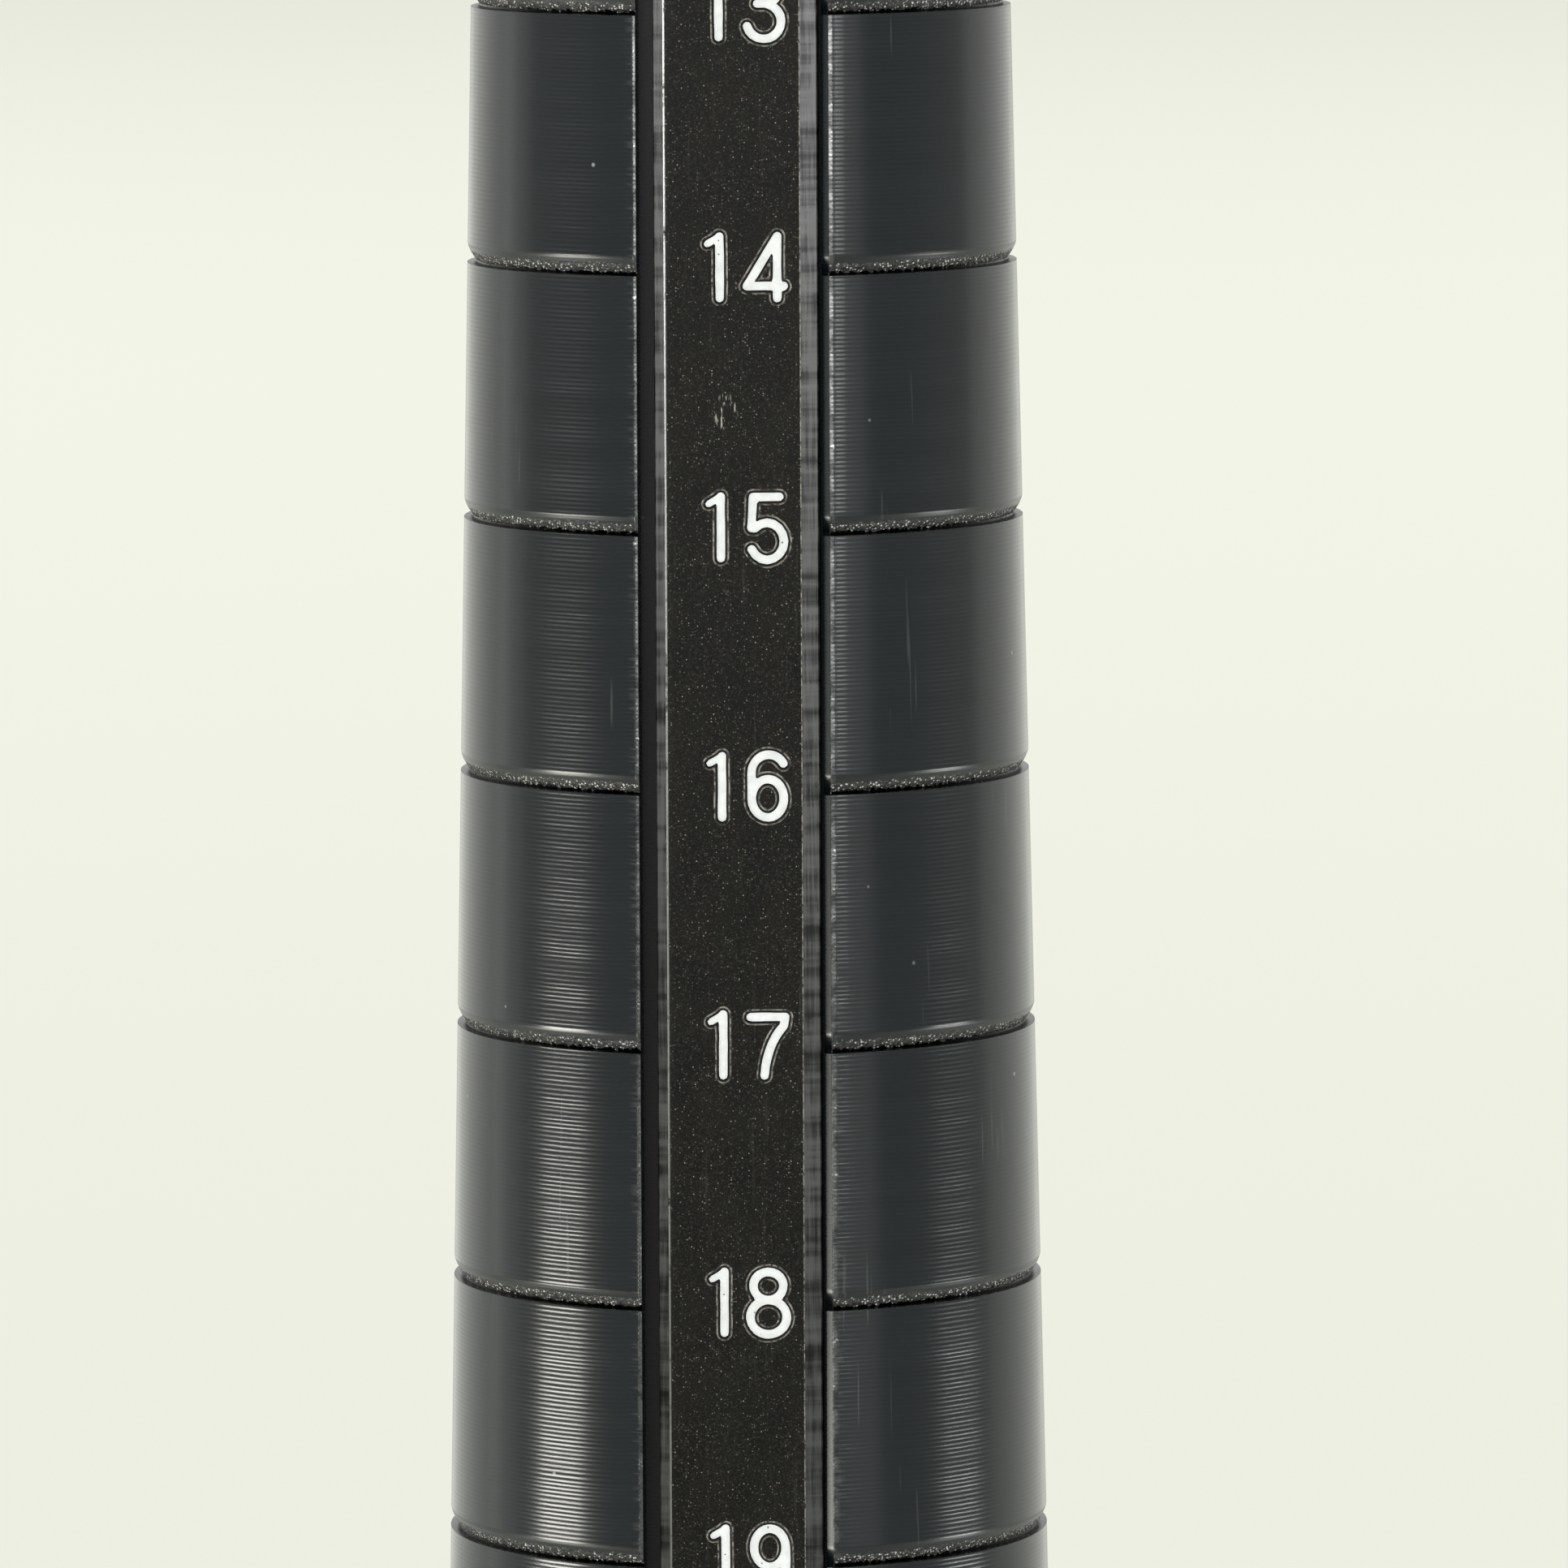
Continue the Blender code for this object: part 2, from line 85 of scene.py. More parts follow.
# radius = half of (first diameter + step x sizes above the first), with the size read from the height
def taperRadius(z):
    size = sizeLaw["sizes"] - (z - sizeLaw["lastSizeAt"]) / sizeLaw["pitch"]
    return (sizeLaw["firstDiameter"] + sizeLaw["sizeStep"] * (size - 1)) / 2


# 0 below low, 1 above high, and an even s-curve between them
def eased(value, low, high):
    t = np.clip((value - low) / (high - low), 0.0, 1.0)
    return t * t * (3 - 2 * t)


# a few sine waves added up, from -1 to 1, with directions and phases drawn from the seed
def ripple(x, y, seed, finest):
    draw = np.random.default_rng(seed)
    waves = 5
    total = np.zeros(np.broadcast(x, y).shape)
    for k in range(waves):
        turn = draw.uniform(0, 2 * math.pi)
        phase = draw.uniform(0, 2 * math.pi)
        speed = finest * (0.3 + 0.7 * k / waves)
        total += np.sin(speed * (x * math.cos(turn) + y * math.sin(turn)) + phase)
    return total / waves


creaseOver = 32.0  # degrees between two faces, past which their edge is sharp


# A mesh from points in millimetres; slots hold a material number for each face, and fields hold a
# number for each point, which the materials read by name
def writeMesh(name, points, faces, materials, slots=None, sharpOver=creaseOver, fields=None):
    mesh = bpy.data.meshes.new(name)
    mesh.from_pydata((np.asarray(points, float) * mm).tolist(), [], faces)
    for material in materials:
        mesh.materials.append(material)
    if slots is not None:
        mesh.polygons.foreach_set("material_index", np.asarray(slots, np.int32))
    for field, values in (fields or {}).items():
        layer = mesh.attributes.new(field, "FLOAT", "POINT")
        layer.data.foreach_set("value", np.asarray(values, np.float32))
    mesh.shade_smooth()
    mesh.set_sharp_from_angle(angle=math.radians(sharpOver))
    piece = bpy.data.objects.new(name, mesh)
    bpy.context.scene.collection.objects.link(piece)
    return piece


# quads between neighbouring rows of a grid whose columns close into a ring
def ringQuads(rows, columns):
    i, j = np.meshgrid(np.arange(rows - 1), np.arange(columns), indexing="ij")
    k = (j + 1) % columns
    corners = (i * columns + j, i * columns + k, (i + 1) * columns + k, (i + 1) * columns + j)
    return np.stack(corners, -1).reshape(-1, 4).tolist()


# a fan from one point to a ring of the grid
def fan(centre, ring, flip=False):
    ring = np.asarray(ring)
    after = np.roll(ring, -1)
    pair = (after, ring) if flip else (ring, after)
    return np.stack((np.full(len(ring), centre), *pair), -1).tolist()


# A grid of rings closed by a fan at its first ring and one at its last, whose middles are the two
# points after the grid's own
def closedRings(rows, around, flip=False):
    quads = ringQuads(rows, around)
    faces = [quad[::-1] for quad in quads] if flip else quads
    faces += fan(rows * around, np.arange(around), flip=not flip)
    faces += fan(rows * around + 1, np.arange(around) + (rows - 1) * around, flip=flip)
    return faces


# Rounds the corners of an outline: each is a quadratic curve between two points, one radius away
# along its sides, with the corner as its control point
def rounded(outline, radii, pieces=5):
    outline = np.asarray(outline, float)
    made = []
    neighbours = np.roll(outline, 1, 0), np.roll(outline, -1, 0)
    for corner, before, after, radius in zip(outline, *neighbours, radii):
        back, ahead = before - corner, after - corner
        start = corner + back / np.linalg.norm(back) * radius
        end = corner + ahead / np.linalg.norm(ahead) * radius
        t = np.linspace(0, 1, pieces + 1)[:, None]
        made.append((1 - t) ** 2 * start + 2 * t * (1 - t) * corner + t * t * end)
    return np.concatenate(made)


# A turned piece: point (i, j) is outline point i carried round the axis by column j's angle.
# The outline is (radius, height) from its top, down the outer side; radius 0 ends on the axis.
def turnedPiece(name, outline, material, around=128):
    outline = np.asarray(outline, float)[::-1]
    onAxis = outline[:, 0] < 1e-6
    body = outline[~onAxis]
    angle = np.arange(around) * 2 * math.pi / around
    radius, height = body[:, :1], body[:, 1:]
    heights = np.broadcast_to(height, (len(body), around))
    grid = np.stack((radius * np.sin(angle), -radius * np.cos(angle), heights), -1).reshape(-1, 3)
    if onAxis.any():
        lowest, highest = outline[0], outline[-1]
        grid = np.concatenate((grid, [[0, 0, lowest[1]], [0, 0, highest[1]]]))
        faces = closedRings(len(body), around)
    else:
        j = np.arange(around)
        k = (j + 1) % around
        last = (len(body) - 1) * around
        faces = ringQuads(len(body), around) + np.stack((last + j, last + k, k, j), -1).tolist()
    return writeMesh(name, grid, faces, [material])


# Takes a closed cutter out of a piece and leaves the result in the piece's own mesh
def cutOut(piece, cutter):
    boolean = piece.modifiers.new("cut", "BOOLEAN")
    boolean.solver = "EXACT"
    boolean.object = cutter
    bpy.context.view_layer.update()
    done = bpy.data.meshes.new_from_object(piece.evaluated_get(bpy.context.evaluated_depsgraph_get()))
    piece.modifiers.remove(boolean)
    piece.data = done
    bpy.data.objects.remove(cutter, do_unlink=True)
    done.shade_smooth()
    done.set_sharp_from_angle(angle=math.radians(creaseOver))


class Signal:
    # one output of a material's nodes; arithmetic on it adds Math nodes
    def __init__(self, finish, socket):
        self.finish = finish
        self.socket = socket

    def math(self, operation, *others):
        return self.finish.node("ShaderNodeMath", {"operation": operation}, [self, *others])

    def __add__(self, other):
        return self.math("ADD", other)

    def __sub__(self, other):
        return self.math("SUBTRACT", other)

    def __mul__(self, other):
        return self.math("MULTIPLY", other)

    def __truediv__(self, other):
        return self.math("DIVIDE", other)

    def __pow__(self, other):
        return self.math("POWER", other)

    def __rsub__(self, other):
        return (self * -1.0) + other

    __radd__ = __add__
    __rmul__ = __mul__

    def high(self, other):
        return self.math("MAXIMUM", other)

    # 0 below one value and 1 above another, either way round
    def ramp(self, start, end):
        ranges = {"From Min": start, "From Max": end, "To Min": 0.0, "To Max": 1.0}
        return self.finish.node(
            "ShaderNodeMapRange", {"interpolation_type": "SMOOTHSTEP"}, {"Value": self, **ranges}
        )


class Finish:
    # one material, its Principled shader, and the nodes that feed it
    def __init__(self, name, color, roughness, metallic=0.0, **more):
        self.material = bpy.data.materials.new(name)
        self.material.use_nodes = True
        self.tree = self.material.node_tree
        self.shader = self.tree.nodes["Principled BSDF"]
        self.place = None
        self.feed(Base_Color=color, Roughness=roughness, Metallic=metallic, **more)

    def put(self, socket, value):
        if isinstance(value, Signal):
            self.tree.links.new(value.socket, socket)
        elif isinstance(value, (tuple, list)) and len(value) == 3 and socket.type == "RGBA":
            socket.default_value = (*value, 1.0)
        else:
            socket.default_value = value

    def feed(self, **values):
        for name, value in values.items():
            self.put(self.shader.inputs[name.replace("_", " ")], value)
        return self

    # any node: its type, its settings, the values or links of its sockets, and the output wanted
    def node(self, kind, settings=None, sockets=None, output=0):
        made = self.tree.nodes.new(kind)
        for key, value in (settings or {}).items():
            setattr(made, key, value)
        pairs = sockets.items() if isinstance(sockets, dict) else enumerate(sockets or [])
        for key, value in pairs:
            self.put(made.inputs[key], value)
        return Signal(self, made.outputs[output])

    # the point in the object's own frame, in metres, or stretched by one factor or one for each axis
    def at(self, *scale):
        if self.place is None:
            self.place = self.node("ShaderNodeTexCoord", output="Object")
        if not scale:
            return self.place
        factors = scale if len(scale) == 3 else scale * 3
        return self.node("ShaderNodeMapping", sockets={"Vector": self.place, "Scale": factors})

    # soft noise from 0 to 1; scale is how many lumps fit in a metre, one number or one for each axis
    def noise(self, *scale, detail=2.0, roughness=0.5):
        sockets = {"Vector": self.at(*scale), "Scale": 1.0, "Detail": detail, "Roughness": roughness}
        return self.node("ShaderNodeTexNoise", {"normalize": True}, sockets, "Fac")

    # distance to the nearest of many scattered points, in cells, and that point's own random number
    def specks(self, *scale):
        sockets = {"Vector": self.at(*scale), "Scale": 1.0}
        near = self.node("ShaderNodeTexVoronoi", {}, sockets, "Distance")
        lot = self.node("ShaderNodeTexVoronoi", {}, sockets, "Color")
        return near, self.node("ShaderNodeSeparateColor", sockets=[lot])

    def blend(self, amount, first, second):
        settings = {"data_type": "RGBA"}
        return self.node("ShaderNodeMix", settings, {0: amount, 6: first, 7: second}, 2)

    def field(self, name):
        return self.node("ShaderNodeAttribute", {"attribute_name": name}, output="Fac")

    def axis(self, letter):
        return self.node("ShaderNodeSeparateXYZ", sockets=[self.at()], output=letter)

    # relief: a height from 0 to 1 that stands for a depth in millimetres
    def relief(self, height, depth, below=None):
        sockets = {"Height": height, "Distance": depth * mm, "Strength": 1.0}
        if below is not None:
            sockets["Normal"] = below
        return self.node("ShaderNodeBump", {}, sockets, "Normal")

    # the usual end of a finish: a colour, a roughness and a relief that vary over the surface
    def done(self, color, roughness, height, depth, below=None):
        normal = self.relief(height, depth, below)
        return self.feed(Base_Color=color, Roughness=roughness, Normal=normal).material


# a colour made darker or lighter
def shaded(color, factor):
    return tuple(channel * factor for channel in color)


bodyLook = {
    "color": (0.0021, 0.0037, 0.0047),
    "corner": (0.0004, 0.0004, 0.0004),  # painted shade for the unlit foot of a groove
    "grit": (0.034, 0.034, 0.031),  # its torn side
    "dust": (0.42, 0.42, 0.38),
    "scuff": (0.062, 0.064, 0.064),  # what a worn edge mirrors
    "chip": (0.34, 0.35, 0.35),
    "gloss": 0.19,
    "specular": 0.29,
    "lathePitch": 0.138,
    "latheDepth": 0.0055,
    "gritDepth": 0.02,
    "chipDepth": 0.012,
}


# Of the fields that the body carries, climb is 1 at a groove's sharp edge and falls to 0 at its lip,
# edge is 1 where the body wears, and turned is 1 where the lathe cut it
def turnedPlastic():
    look = bodyLook
    finish = Finish("turned_plastic", look["color"], look["gloss"], Specular_IOR_Level=look["specular"])
    climb, edge, turned = (finish.field(name) for name in ("climb", "edge", "turned"))
    # lathe lines run round the taper: an uneven thread, with its pitch drifting, and random lines
    perMetre = 1000 / look["lathePitch"]
    drift = finish.noise(0, 0, 900) * (look["lathePitch"] * 1.6 * mm)
    thread = ((finish.axis("Z") + drift) * (2 * math.pi * perMetre)).math("SINE") * 0.5 + 0.5
    thread = thread * (finish.noise(0, 0, 1300).ramp(0.2, 0.7) * 0.5 + 0.5)
    lines = thread * 0.50 + finish.noise(600, 600, perMetre * 1.4, detail=3.0, roughness=0.6) * 0.36
    lines = lines + finish.noise(3600, 3600, perMetre * 1.7) * 0.14
    broad = finish.noise(30, 30, perMetre / 6)
    # in a groove: a foot painted black as shade, then a torn side whose two borders are ragged, then the
    # bare lip
    grain = finish.noise(9000)
    near, lot = finish.specks(12000)
    speck = near.ramp(0.52, 0.24) * lot.ramp(0.38, 0.88)
    torn = climb + (finish.noise(7000, detail=3.0) - 0.5) * 0.5
    inGroove = climb.ramp(0.01, 0.05)
    # foot marks the band at a groove's bottom where shade is painted
    foot = inGroove * torn.ramp(0.80, 0.86)
    floor = inGroove * torn.ramp(0.38, 0.48) * (1.0 - foot)
    # along the channel: worn and chipped places, and short streaks across the edge
    chip = finish.noise(1500, 1500, 1900, detail=4.0, roughness=0.7)
    streak = edge.ramp(0.02, 0.45) * finish.noise(500, 500, 9000).ramp(0.54, 0.64)
    worn = (edge.ramp(0.25, 0.90) * chip.ramp(0.40, 0.56)).high(streak * 0.55)
    # all over: faint upright marks from handling, and dust
    handled = finish.noise(7000, 7000, 130, detail=1.0) * finish.noise(300, 300, 150)
    handled = handled.ramp(0.42, 0.50)
    dustNear, dustLot = finish.specks(700)
    dust = dustNear.ramp(0.06, 0.02) * dustLot.ramp(0.80, 0.92)
    color = finish.blend(broad.ramp(0.3, 0.7) * 0.5, look["color"], shaded(look["color"], 1.25))
    color = finish.blend(floor * grain.ramp(0.25, 0.75), color, look["grit"])
    color = finish.blend(floor * speck, color, look["dust"])
    color = finish.blend(worn, color, look["scuff"])
    color = finish.blend(edge.ramp(0.25, 0.8) * chip.ramp(0.64, 0.70), color, look["chip"])
    color = finish.blend(handled * 0.05, color, look["chip"])
    color = finish.blend(dust * 0.4, color, look["chip"])
    # painted shade: the groove's foot made near-black
    color = finish.blend(foot, color, look["corner"])
    rough = lines * 0.06 + broad * 0.04 + (look["gloss"] - 0.05) + floor * 0.4 + inGroove * 0.10
    rough = rough + (1.0 - turned) * 0.08
    threaded = finish.relief(lines * turned, look["latheDepth"])
    pitted = finish.relief(grain * floor + speck * floor * 0.8, look["gritDepth"], threaded)
    # painted shade: metallic over the near-black foot takes its reflection away; on worn edges metallic
    # makes them reflect with the scuff colour
    finish.feed(Metallic=foot.high(worn))
    return finish.done(color, rough, chip * edge.ramp(0.2, 0.9), look["chipDepth"], pitted)


stripLook = {
    "face": (0.0008, 0.0007, 0.0001),
    "drawn": (0.05, 0.05, 0.045),  # fine lines along the face
    # painted glints: the colour of bright specks painted into the face, also given to its scratches
    "glint": (0.30, 0.29, 0.25),
    "bevel": (0.0085, 0.0090, 0.0085),
    "rim": (0.165, 0.165, 0.155),
    "burr": (0.085, 0.080, 0.064),
    "wall": (0.003, 0.003, 0.003),
    "faceSpecular": 0.115,
    "bevelSpecular": 0.33,
    "wallSpecular": 0.25,
    "scratchPlace": {"X": -0.2, "Z": 228.7},  # middle of the scratched patch
    "scratchHalf": {"X": 0.42, "Z": 0.62},  # half its width and half its height
}


def anodisedFace():
    look = stripLook
    finish = Finish("anodised_face", look["face"], 0.5, Specular_IOR_Level=look["faceSpecular"])
    mottle = finish.noise(900, 900, 500, detail=4.0, roughness=0.65)
    drawn = finish.noise(5200, 400, 260, detail=3.0, roughness=0.6)
    near, lot = finish.specks(14500)
    fine = finish.noise(16000).ramp(0.45, 0.75)
    # painted glints: sparse bright specks in the face's colour, made a little smoother
    glint = near.ramp(0.42, 0.14)
    glint = glint * (lot.ramp(0.62, 1.0) * 0.24 + lot.ramp(0.95, 0.99) * 0.35) + fine * 0.035
    # a patch of short upright scratches, inside an ellipse
    offX, offZ = (
        (finish.axis(k) - look["scratchPlace"][k] * mm) / (look["scratchHalf"][k] * mm) for k in "XZ"
    )
    away = offX**2.0 + offZ**2.0
    scratch = away.ramp(1.0, 0.4) * finish.noise(15000, 15000, 2600).ramp(0.55, 0.62)
    color = finish.blend(mottle.ramp(0.35, 0.70), shaded(look["face"], 0.7), shaded(look["face"], 1.5))
    color = finish.blend(drawn.ramp(0.60, 0.85) * 0.25, color, look["drawn"])
    # painted glints blended into the face's colour
    color = finish.blend(glint * 0.8, color, look["glint"])
    color = finish.blend(scratch * 0.7, color, look["glint"])
    rough = mottle * 0.2 + 0.27 - glint * 0.1
    return finish.done(color, rough, finish.noise(11000) * 0.6 + drawn * 0.4, 0.003)


def anodisedBevel():
    look = stripLook
    finish = Finish("anodised_bevel", look["bevel"], 0.30, Specular_IOR_Level=look["bevelSpecular"])
    drawn = finish.noise(9000, 9000, 260, detail=4.0, roughness=0.7)
    blotch = finish.noise(500, 500, 900, detail=3.0, roughness=0.6)
    cross = finish.noise(60, 60, 2300, detail=3.0, roughness=0.6)
    shade = drawn * 0.38 + blotch * 0.20 + cross * 0.42
    dull = shade.ramp(0.58, 0.40)  # 1 in the streaks and bands that mirror as bare metal does
    color = finish.blend(shade.ramp(0.35, 0.62), shaded(look["bevel"], 0.3), shaded(look["bevel"], 1.9))
    finish.feed(Metallic=dull * 0.75)
    return finish.done(color, blotch * 0.24 + shade * 0.1 + 0.12, shade, 0.005)


def baredEdge():
    finish = Finish("bared_edge", stripLook["rim"], 0.28, 1.0)
    nick = finish.noise(1200, 1200, 900, detail=4.0, roughness=0.7)
    color = finish.blend(nick.ramp(0.30, 0.45), stripLook["face"], stripLook["rim"])
    return finish.done(color, nick * 0.14 + 0.15, nick, 0.006)


def engravedWall():
    look = stripLook
    finish = Finish("engraved_wall", look["wall"], 0.35, Specular_IOR_Level=look["wallSpecular"])
    chatter = finish.noise(9000)
    return finish.done(look["wall"], chatter * 0.3 + 0.25, chatter, 0.004)


def engravedBurr():
    finish = Finish("engraved_burr", stripLook["burr"], 0.4, 0.6)
    broken = finish.noise(5200, detail=3.0, roughness=0.7)
    color = finish.blend(broken.ramp(0.36, 0.66), stripLook["face"], shaded(stripLook["burr"], 1.6))
    return finish.done(color, broken * 0.3 + 0.3, broken, 0.006)


paintLook = {
    "color": (0.42, 0.43, 0.43),
    "thin": (0.375, 0.385, 0.380),
    "thick": (0.455, 0.466, 0.466),
    "pit": (0.02, 0.02, 0.018),
}


def whitePaint():
    look = paintLook
    finish = Finish("white_paint", look["color"], 0.55)
    patch = finish.noise(3000, detail=4.0, roughness=0.6)
    near, lot = finish.specks(5200)
    pit = near.ramp(0.22, 0.10) * lot.ramp(0.90, 0.96)
    color = finish.blend(patch.ramp(0.25, 0.75), look["thin"], look["thick"])
    color = finish.blend(pit * 0.85, color, look["pit"])
    return finish.done(color, patch * 0.25 + 0.45, patch - pit, 0.008)


aluminiumLook = {"color": (0.47, 0.48, 0.49), "dull": (0.36, 0.37, 0.38), "bright": (0.54, 0.55, 0.56)}


def turnedAluminium():
    look = aluminiumLook
    finish = Finish("turned_aluminium", look["color"], 0.28, 1.0)
    lines = finish.noise(40, 40, 9000, detail=3.0, roughness=0.6)
    smudge = finish.noise(160, detail=3.0)
    color = finish.blend(lines.ramp(0.3, 0.7), look["dull"], look["bright"])
    return finish.done(color, lines * 0.12 + smudge * 0.14 + 0.16, lines, 0.0012)


handleLook = {
    "color": (0.014, 0.0145, 0.015),
    "moulded": (0.008, 0.0084, 0.009),
    "handled": (0.015, 0.0155, 0.016),
    "nick": (0.16, 0.16, 0.155),
    "specular": 0.33,
}


def handlePlastic():
    look = handleLook
    finish = Finish("handle_plastic", look["color"], 0.42, Specular_IOR_Level=look["specular"])
    lines = finish.noise(50, 50, 4500, detail=3.0, roughness=0.6)
    skin = finish.noise(1400, detail=4.0, roughness=0.6)
    worn = finish.noise(90, 90, 60, detail=3.0)
    near, lot = finish.specks(420)
    nick = near.ramp(0.07, 0.03) * lot.ramp(0.82, 0.92)
    color = finish.blend(worn.ramp(0.35, 0.7), look["moulded"], look["handled"])
    color = finish.blend(nick * 0.7, color, look["nick"])
    turned = finish.relief(lines, 0.0016)
    return finish.done(color, worn * 0.18 + lines * 0.08 + 0.30, skin - nick, 0.006, turned)


rubberLook = {
    "color": (0.022, 0.022, 0.022),
    "clean": (0.020, 0.020, 0.020),
    "dusty": (0.075, 0.072, 0.066),
}


def padRubber():
    look = rubberLook
    finish = Finish("pad_rubber", look["color"], 0.8)
    skin = finish.noise(2600, detail=4.0, roughness=0.65)
    dust = finish.noise(300, 300, 500, detail=4.0)
    color = finish.blend(dust.ramp(0.5, 0.8) * 0.5, look["clean"], look["dusty"])
    return finish.done(color, skin * 0.2 + 0.68, skin, 0.03)


# Each fixing's metal: its colour, the tint of its brighter patches, and its roughness
fixingLooks = {
    "blackened_screw": ((0.045, 0.045, 0.047), (0.09, 0.09, 0.09), 0.38),
    "fixing_steel": ((0.50, 0.50, 0.51), (0.60, 0.60, 0.60), 0.34),
    "insert_brass": ((0.66, 0.46, 0.20), (0.74, 0.56, 0.28), 0.34),
}


def fixingMetal(name):
    color, tint, roughness = fixingLooks[name]
    finish = Finish(name, color, roughness, 1.0)
    tone = finish.noise(700, detail=4.0, roughness=0.6)
    lines = finish.noise(200, 200, 6000)
    shade = finish.blend(tone.ramp(0.3, 0.7), color, tint)
    return finish.done(shade, tone * 0.2 + roughness - 0.1, lines, 0.003)


filmLook = {"color": (0.55, 0.55, 0.52), "thin": (0.48, 0.48, 0.45), "thick": (0.62, 0.62, 0.60)}


def filmFinish():
    finish = Finish("adhesive_film", filmLook["color"], 0.4)
    cloud = finish.noise(800, 800, 200, detail=3.0)
    color = finish.blend(cloud, filmLook["thin"], filmLook["thick"])
    return finish.feed(Base_Color=color, Roughness=cloud * 0.2 + 0.3).material


bodyShape = {
    "around": 116,  # columns on the outside
    "leftHalf": 2.94,  # from the middle to each side of the channel
    "rightHalf": 3.0,
    "channelDepth": 2.5,
    "leftWear": 0.09,  # width of the worn flat along each channel edge
    "rightWear": 0.13,
    "leftWearTilt": 12.6,  # degrees that each flat faces away from straight ahead
    "rightWearTilt": 16.2,
    "leftChamfer": 0.0,  # width of the chamfer under it, and how far it faces the other side
    "rightChamfer": 0.23,
    "leftChamferTilt": 76.0,
    "rightChamferTilt": 37.0,
    "grooveDepth": 0.26,
    "footRise": 0.045,  # height of the groove's steep lower side
    "floorEnd": 0.11,  # where the rounded upper side starts
    "grooveTop": 0.63,
    "slopePower": 1.6,
    "gap": 0.3,  # from the ferrule to the shoulder above it
    "spigotRadius": 8.0,
    "spigotChamfer": 0.4,
    "boreRadius": 4.6,
    "boreStop": 4.3,  # how far under the shoulder the bore ends
    "centreRadius": 1.5,
    "centreDepth": 2.6,
    "roundPoints": 64,  # on each ring of the spigot, the bore and the centre hole
    "baseRound": 0.4,
    "tipRound": 0.6,
}


# groove depth as a share: an s-curve over the steep foot, a flat floor, and a side that leaves the
# floor at its steepest and turns over a small lip into the section above, as a power of what is left
def grooveShare(t):
    shape = bodyShape
    foot = eased(t, 0.0, shape["footRise"])
    left = 1 - np.clip((t - shape["floorEnd"]) / (shape["grooveTop"] - shape["floorEnd"]), 0, 1)
    return foot * left ** shape["slopePower"]


# how far down a groove a height lies: 1 just over its sharp lower edge, falling evenly to 0 at its
# lip, and 0 outside it
def climbShare(t):
    sharpEdge = 0.004
    inside = (t > sharpEdge) & (t < bodyShape["grooveTop"])
    return np.where(inside, 1 - t / bodyShape["grooveTop"], 0.0)


# Heights of the rows, with the groove share, the climb and the inset of each: the same few offsets
# from every size's edge, and a quarter of a circle at either end
def bodyRows(base, tip):
    shape = bodyShape
    foot, floor, top = shape["footRise"], shape["floorEnd"], shape["grooveTop"]
    steepSide = [-0.5, -0.05, 0.0, 0.006, foot / 2, foot, (foot + floor) / 2, floor]
    shares = np.array([0.06, 0.14, 0.24, 0.35, 0.47, 0.59, 0.71, 0.82, 0.92, 1.0])
    section = [top + 0.08, 4.2]  # just over the lip, and half way to the next size
    near = np.concatenate((steepSide, floor + (top - floor) * shares, section))
    edges = edgeHeight(np.arange(sizeLaw["sizes"], 0, -1))
    z = (edges[:, None] + near[None]).ravel()
    share = np.tile(grooveShare(near), len(edges))
    climb = np.tile(climbShare(near), len(edges))
    keep = (z > base + 1) & (z < tip - 1)
    z, share, climb = z[keep], share[keep], climb[keep]
    turn = np.linspace(0, math.pi / 2, 5)
    low, high = shape["baseRound"], shape["tipRound"]
    z = np.concatenate((base + low * (1 - np.cos(turn)), z, tip - high + high * np.sin(turn)))
    share, climb = (np.concatenate((turn * 0, values, turn * 0)) for values in (share, climb))
    inset = np.concatenate((low * (1 - np.sin(turn)), np.zeros(keep.sum()), high * (1 - np.cos(turn))))
    return z, share, climb, inset


# One side of the channel, from the outside inwards: a worn flat that leaves the outer arc at its own
# tilt, a small corner, a chamfer, and the wall down to the floor
def channelSide(radius, floorY, side):
    parts = ("Half", "Wear", "WearTilt", "Chamfer", "ChamferTilt")
    half, wear, tilt, chamfer, chamferTilt = (bodyShape[side + part] for part in parts)
    slope, chamferSlope = math.tan(math.radians(tilt)), math.tan(math.radians(chamferTilt))
    corner, beside = 0.02, 0.012  # size of the corner, and how near a column lies to keep an edge crisp
    startY = -np.sqrt(radius**2 - (half + wear) ** 2)
    flatX = half + np.array([wear - beside, corner + beside, corner])
    flatY = startY - (half + wear - flatX) * slope
    endY = flatY[:, -1:]
    drop = (corner * 0.3 + chamfer) * chamferSlope
    start, wallTop = endY + corner * 0.4, endY + corner * 0.4 + drop
    wall = (wallTop, (wallTop + floorY) / 2, floorY + 0 * endY)
    restY = np.concatenate((start, start + drop * 0.12, *wall), 1)
    startX, wallX = half + corner * 0.3, half - chamfer
    restX = np.array([startX, startX * 0.88 + wallX * 0.12, wallX, wallX, wallX])
    sideX, sideY = np.concatenate((flatX, restX)), np.concatenate((flatY, restY), 1)
    return np.stack((np.broadcast_to(sideX, sideY.shape), sideY), -1)


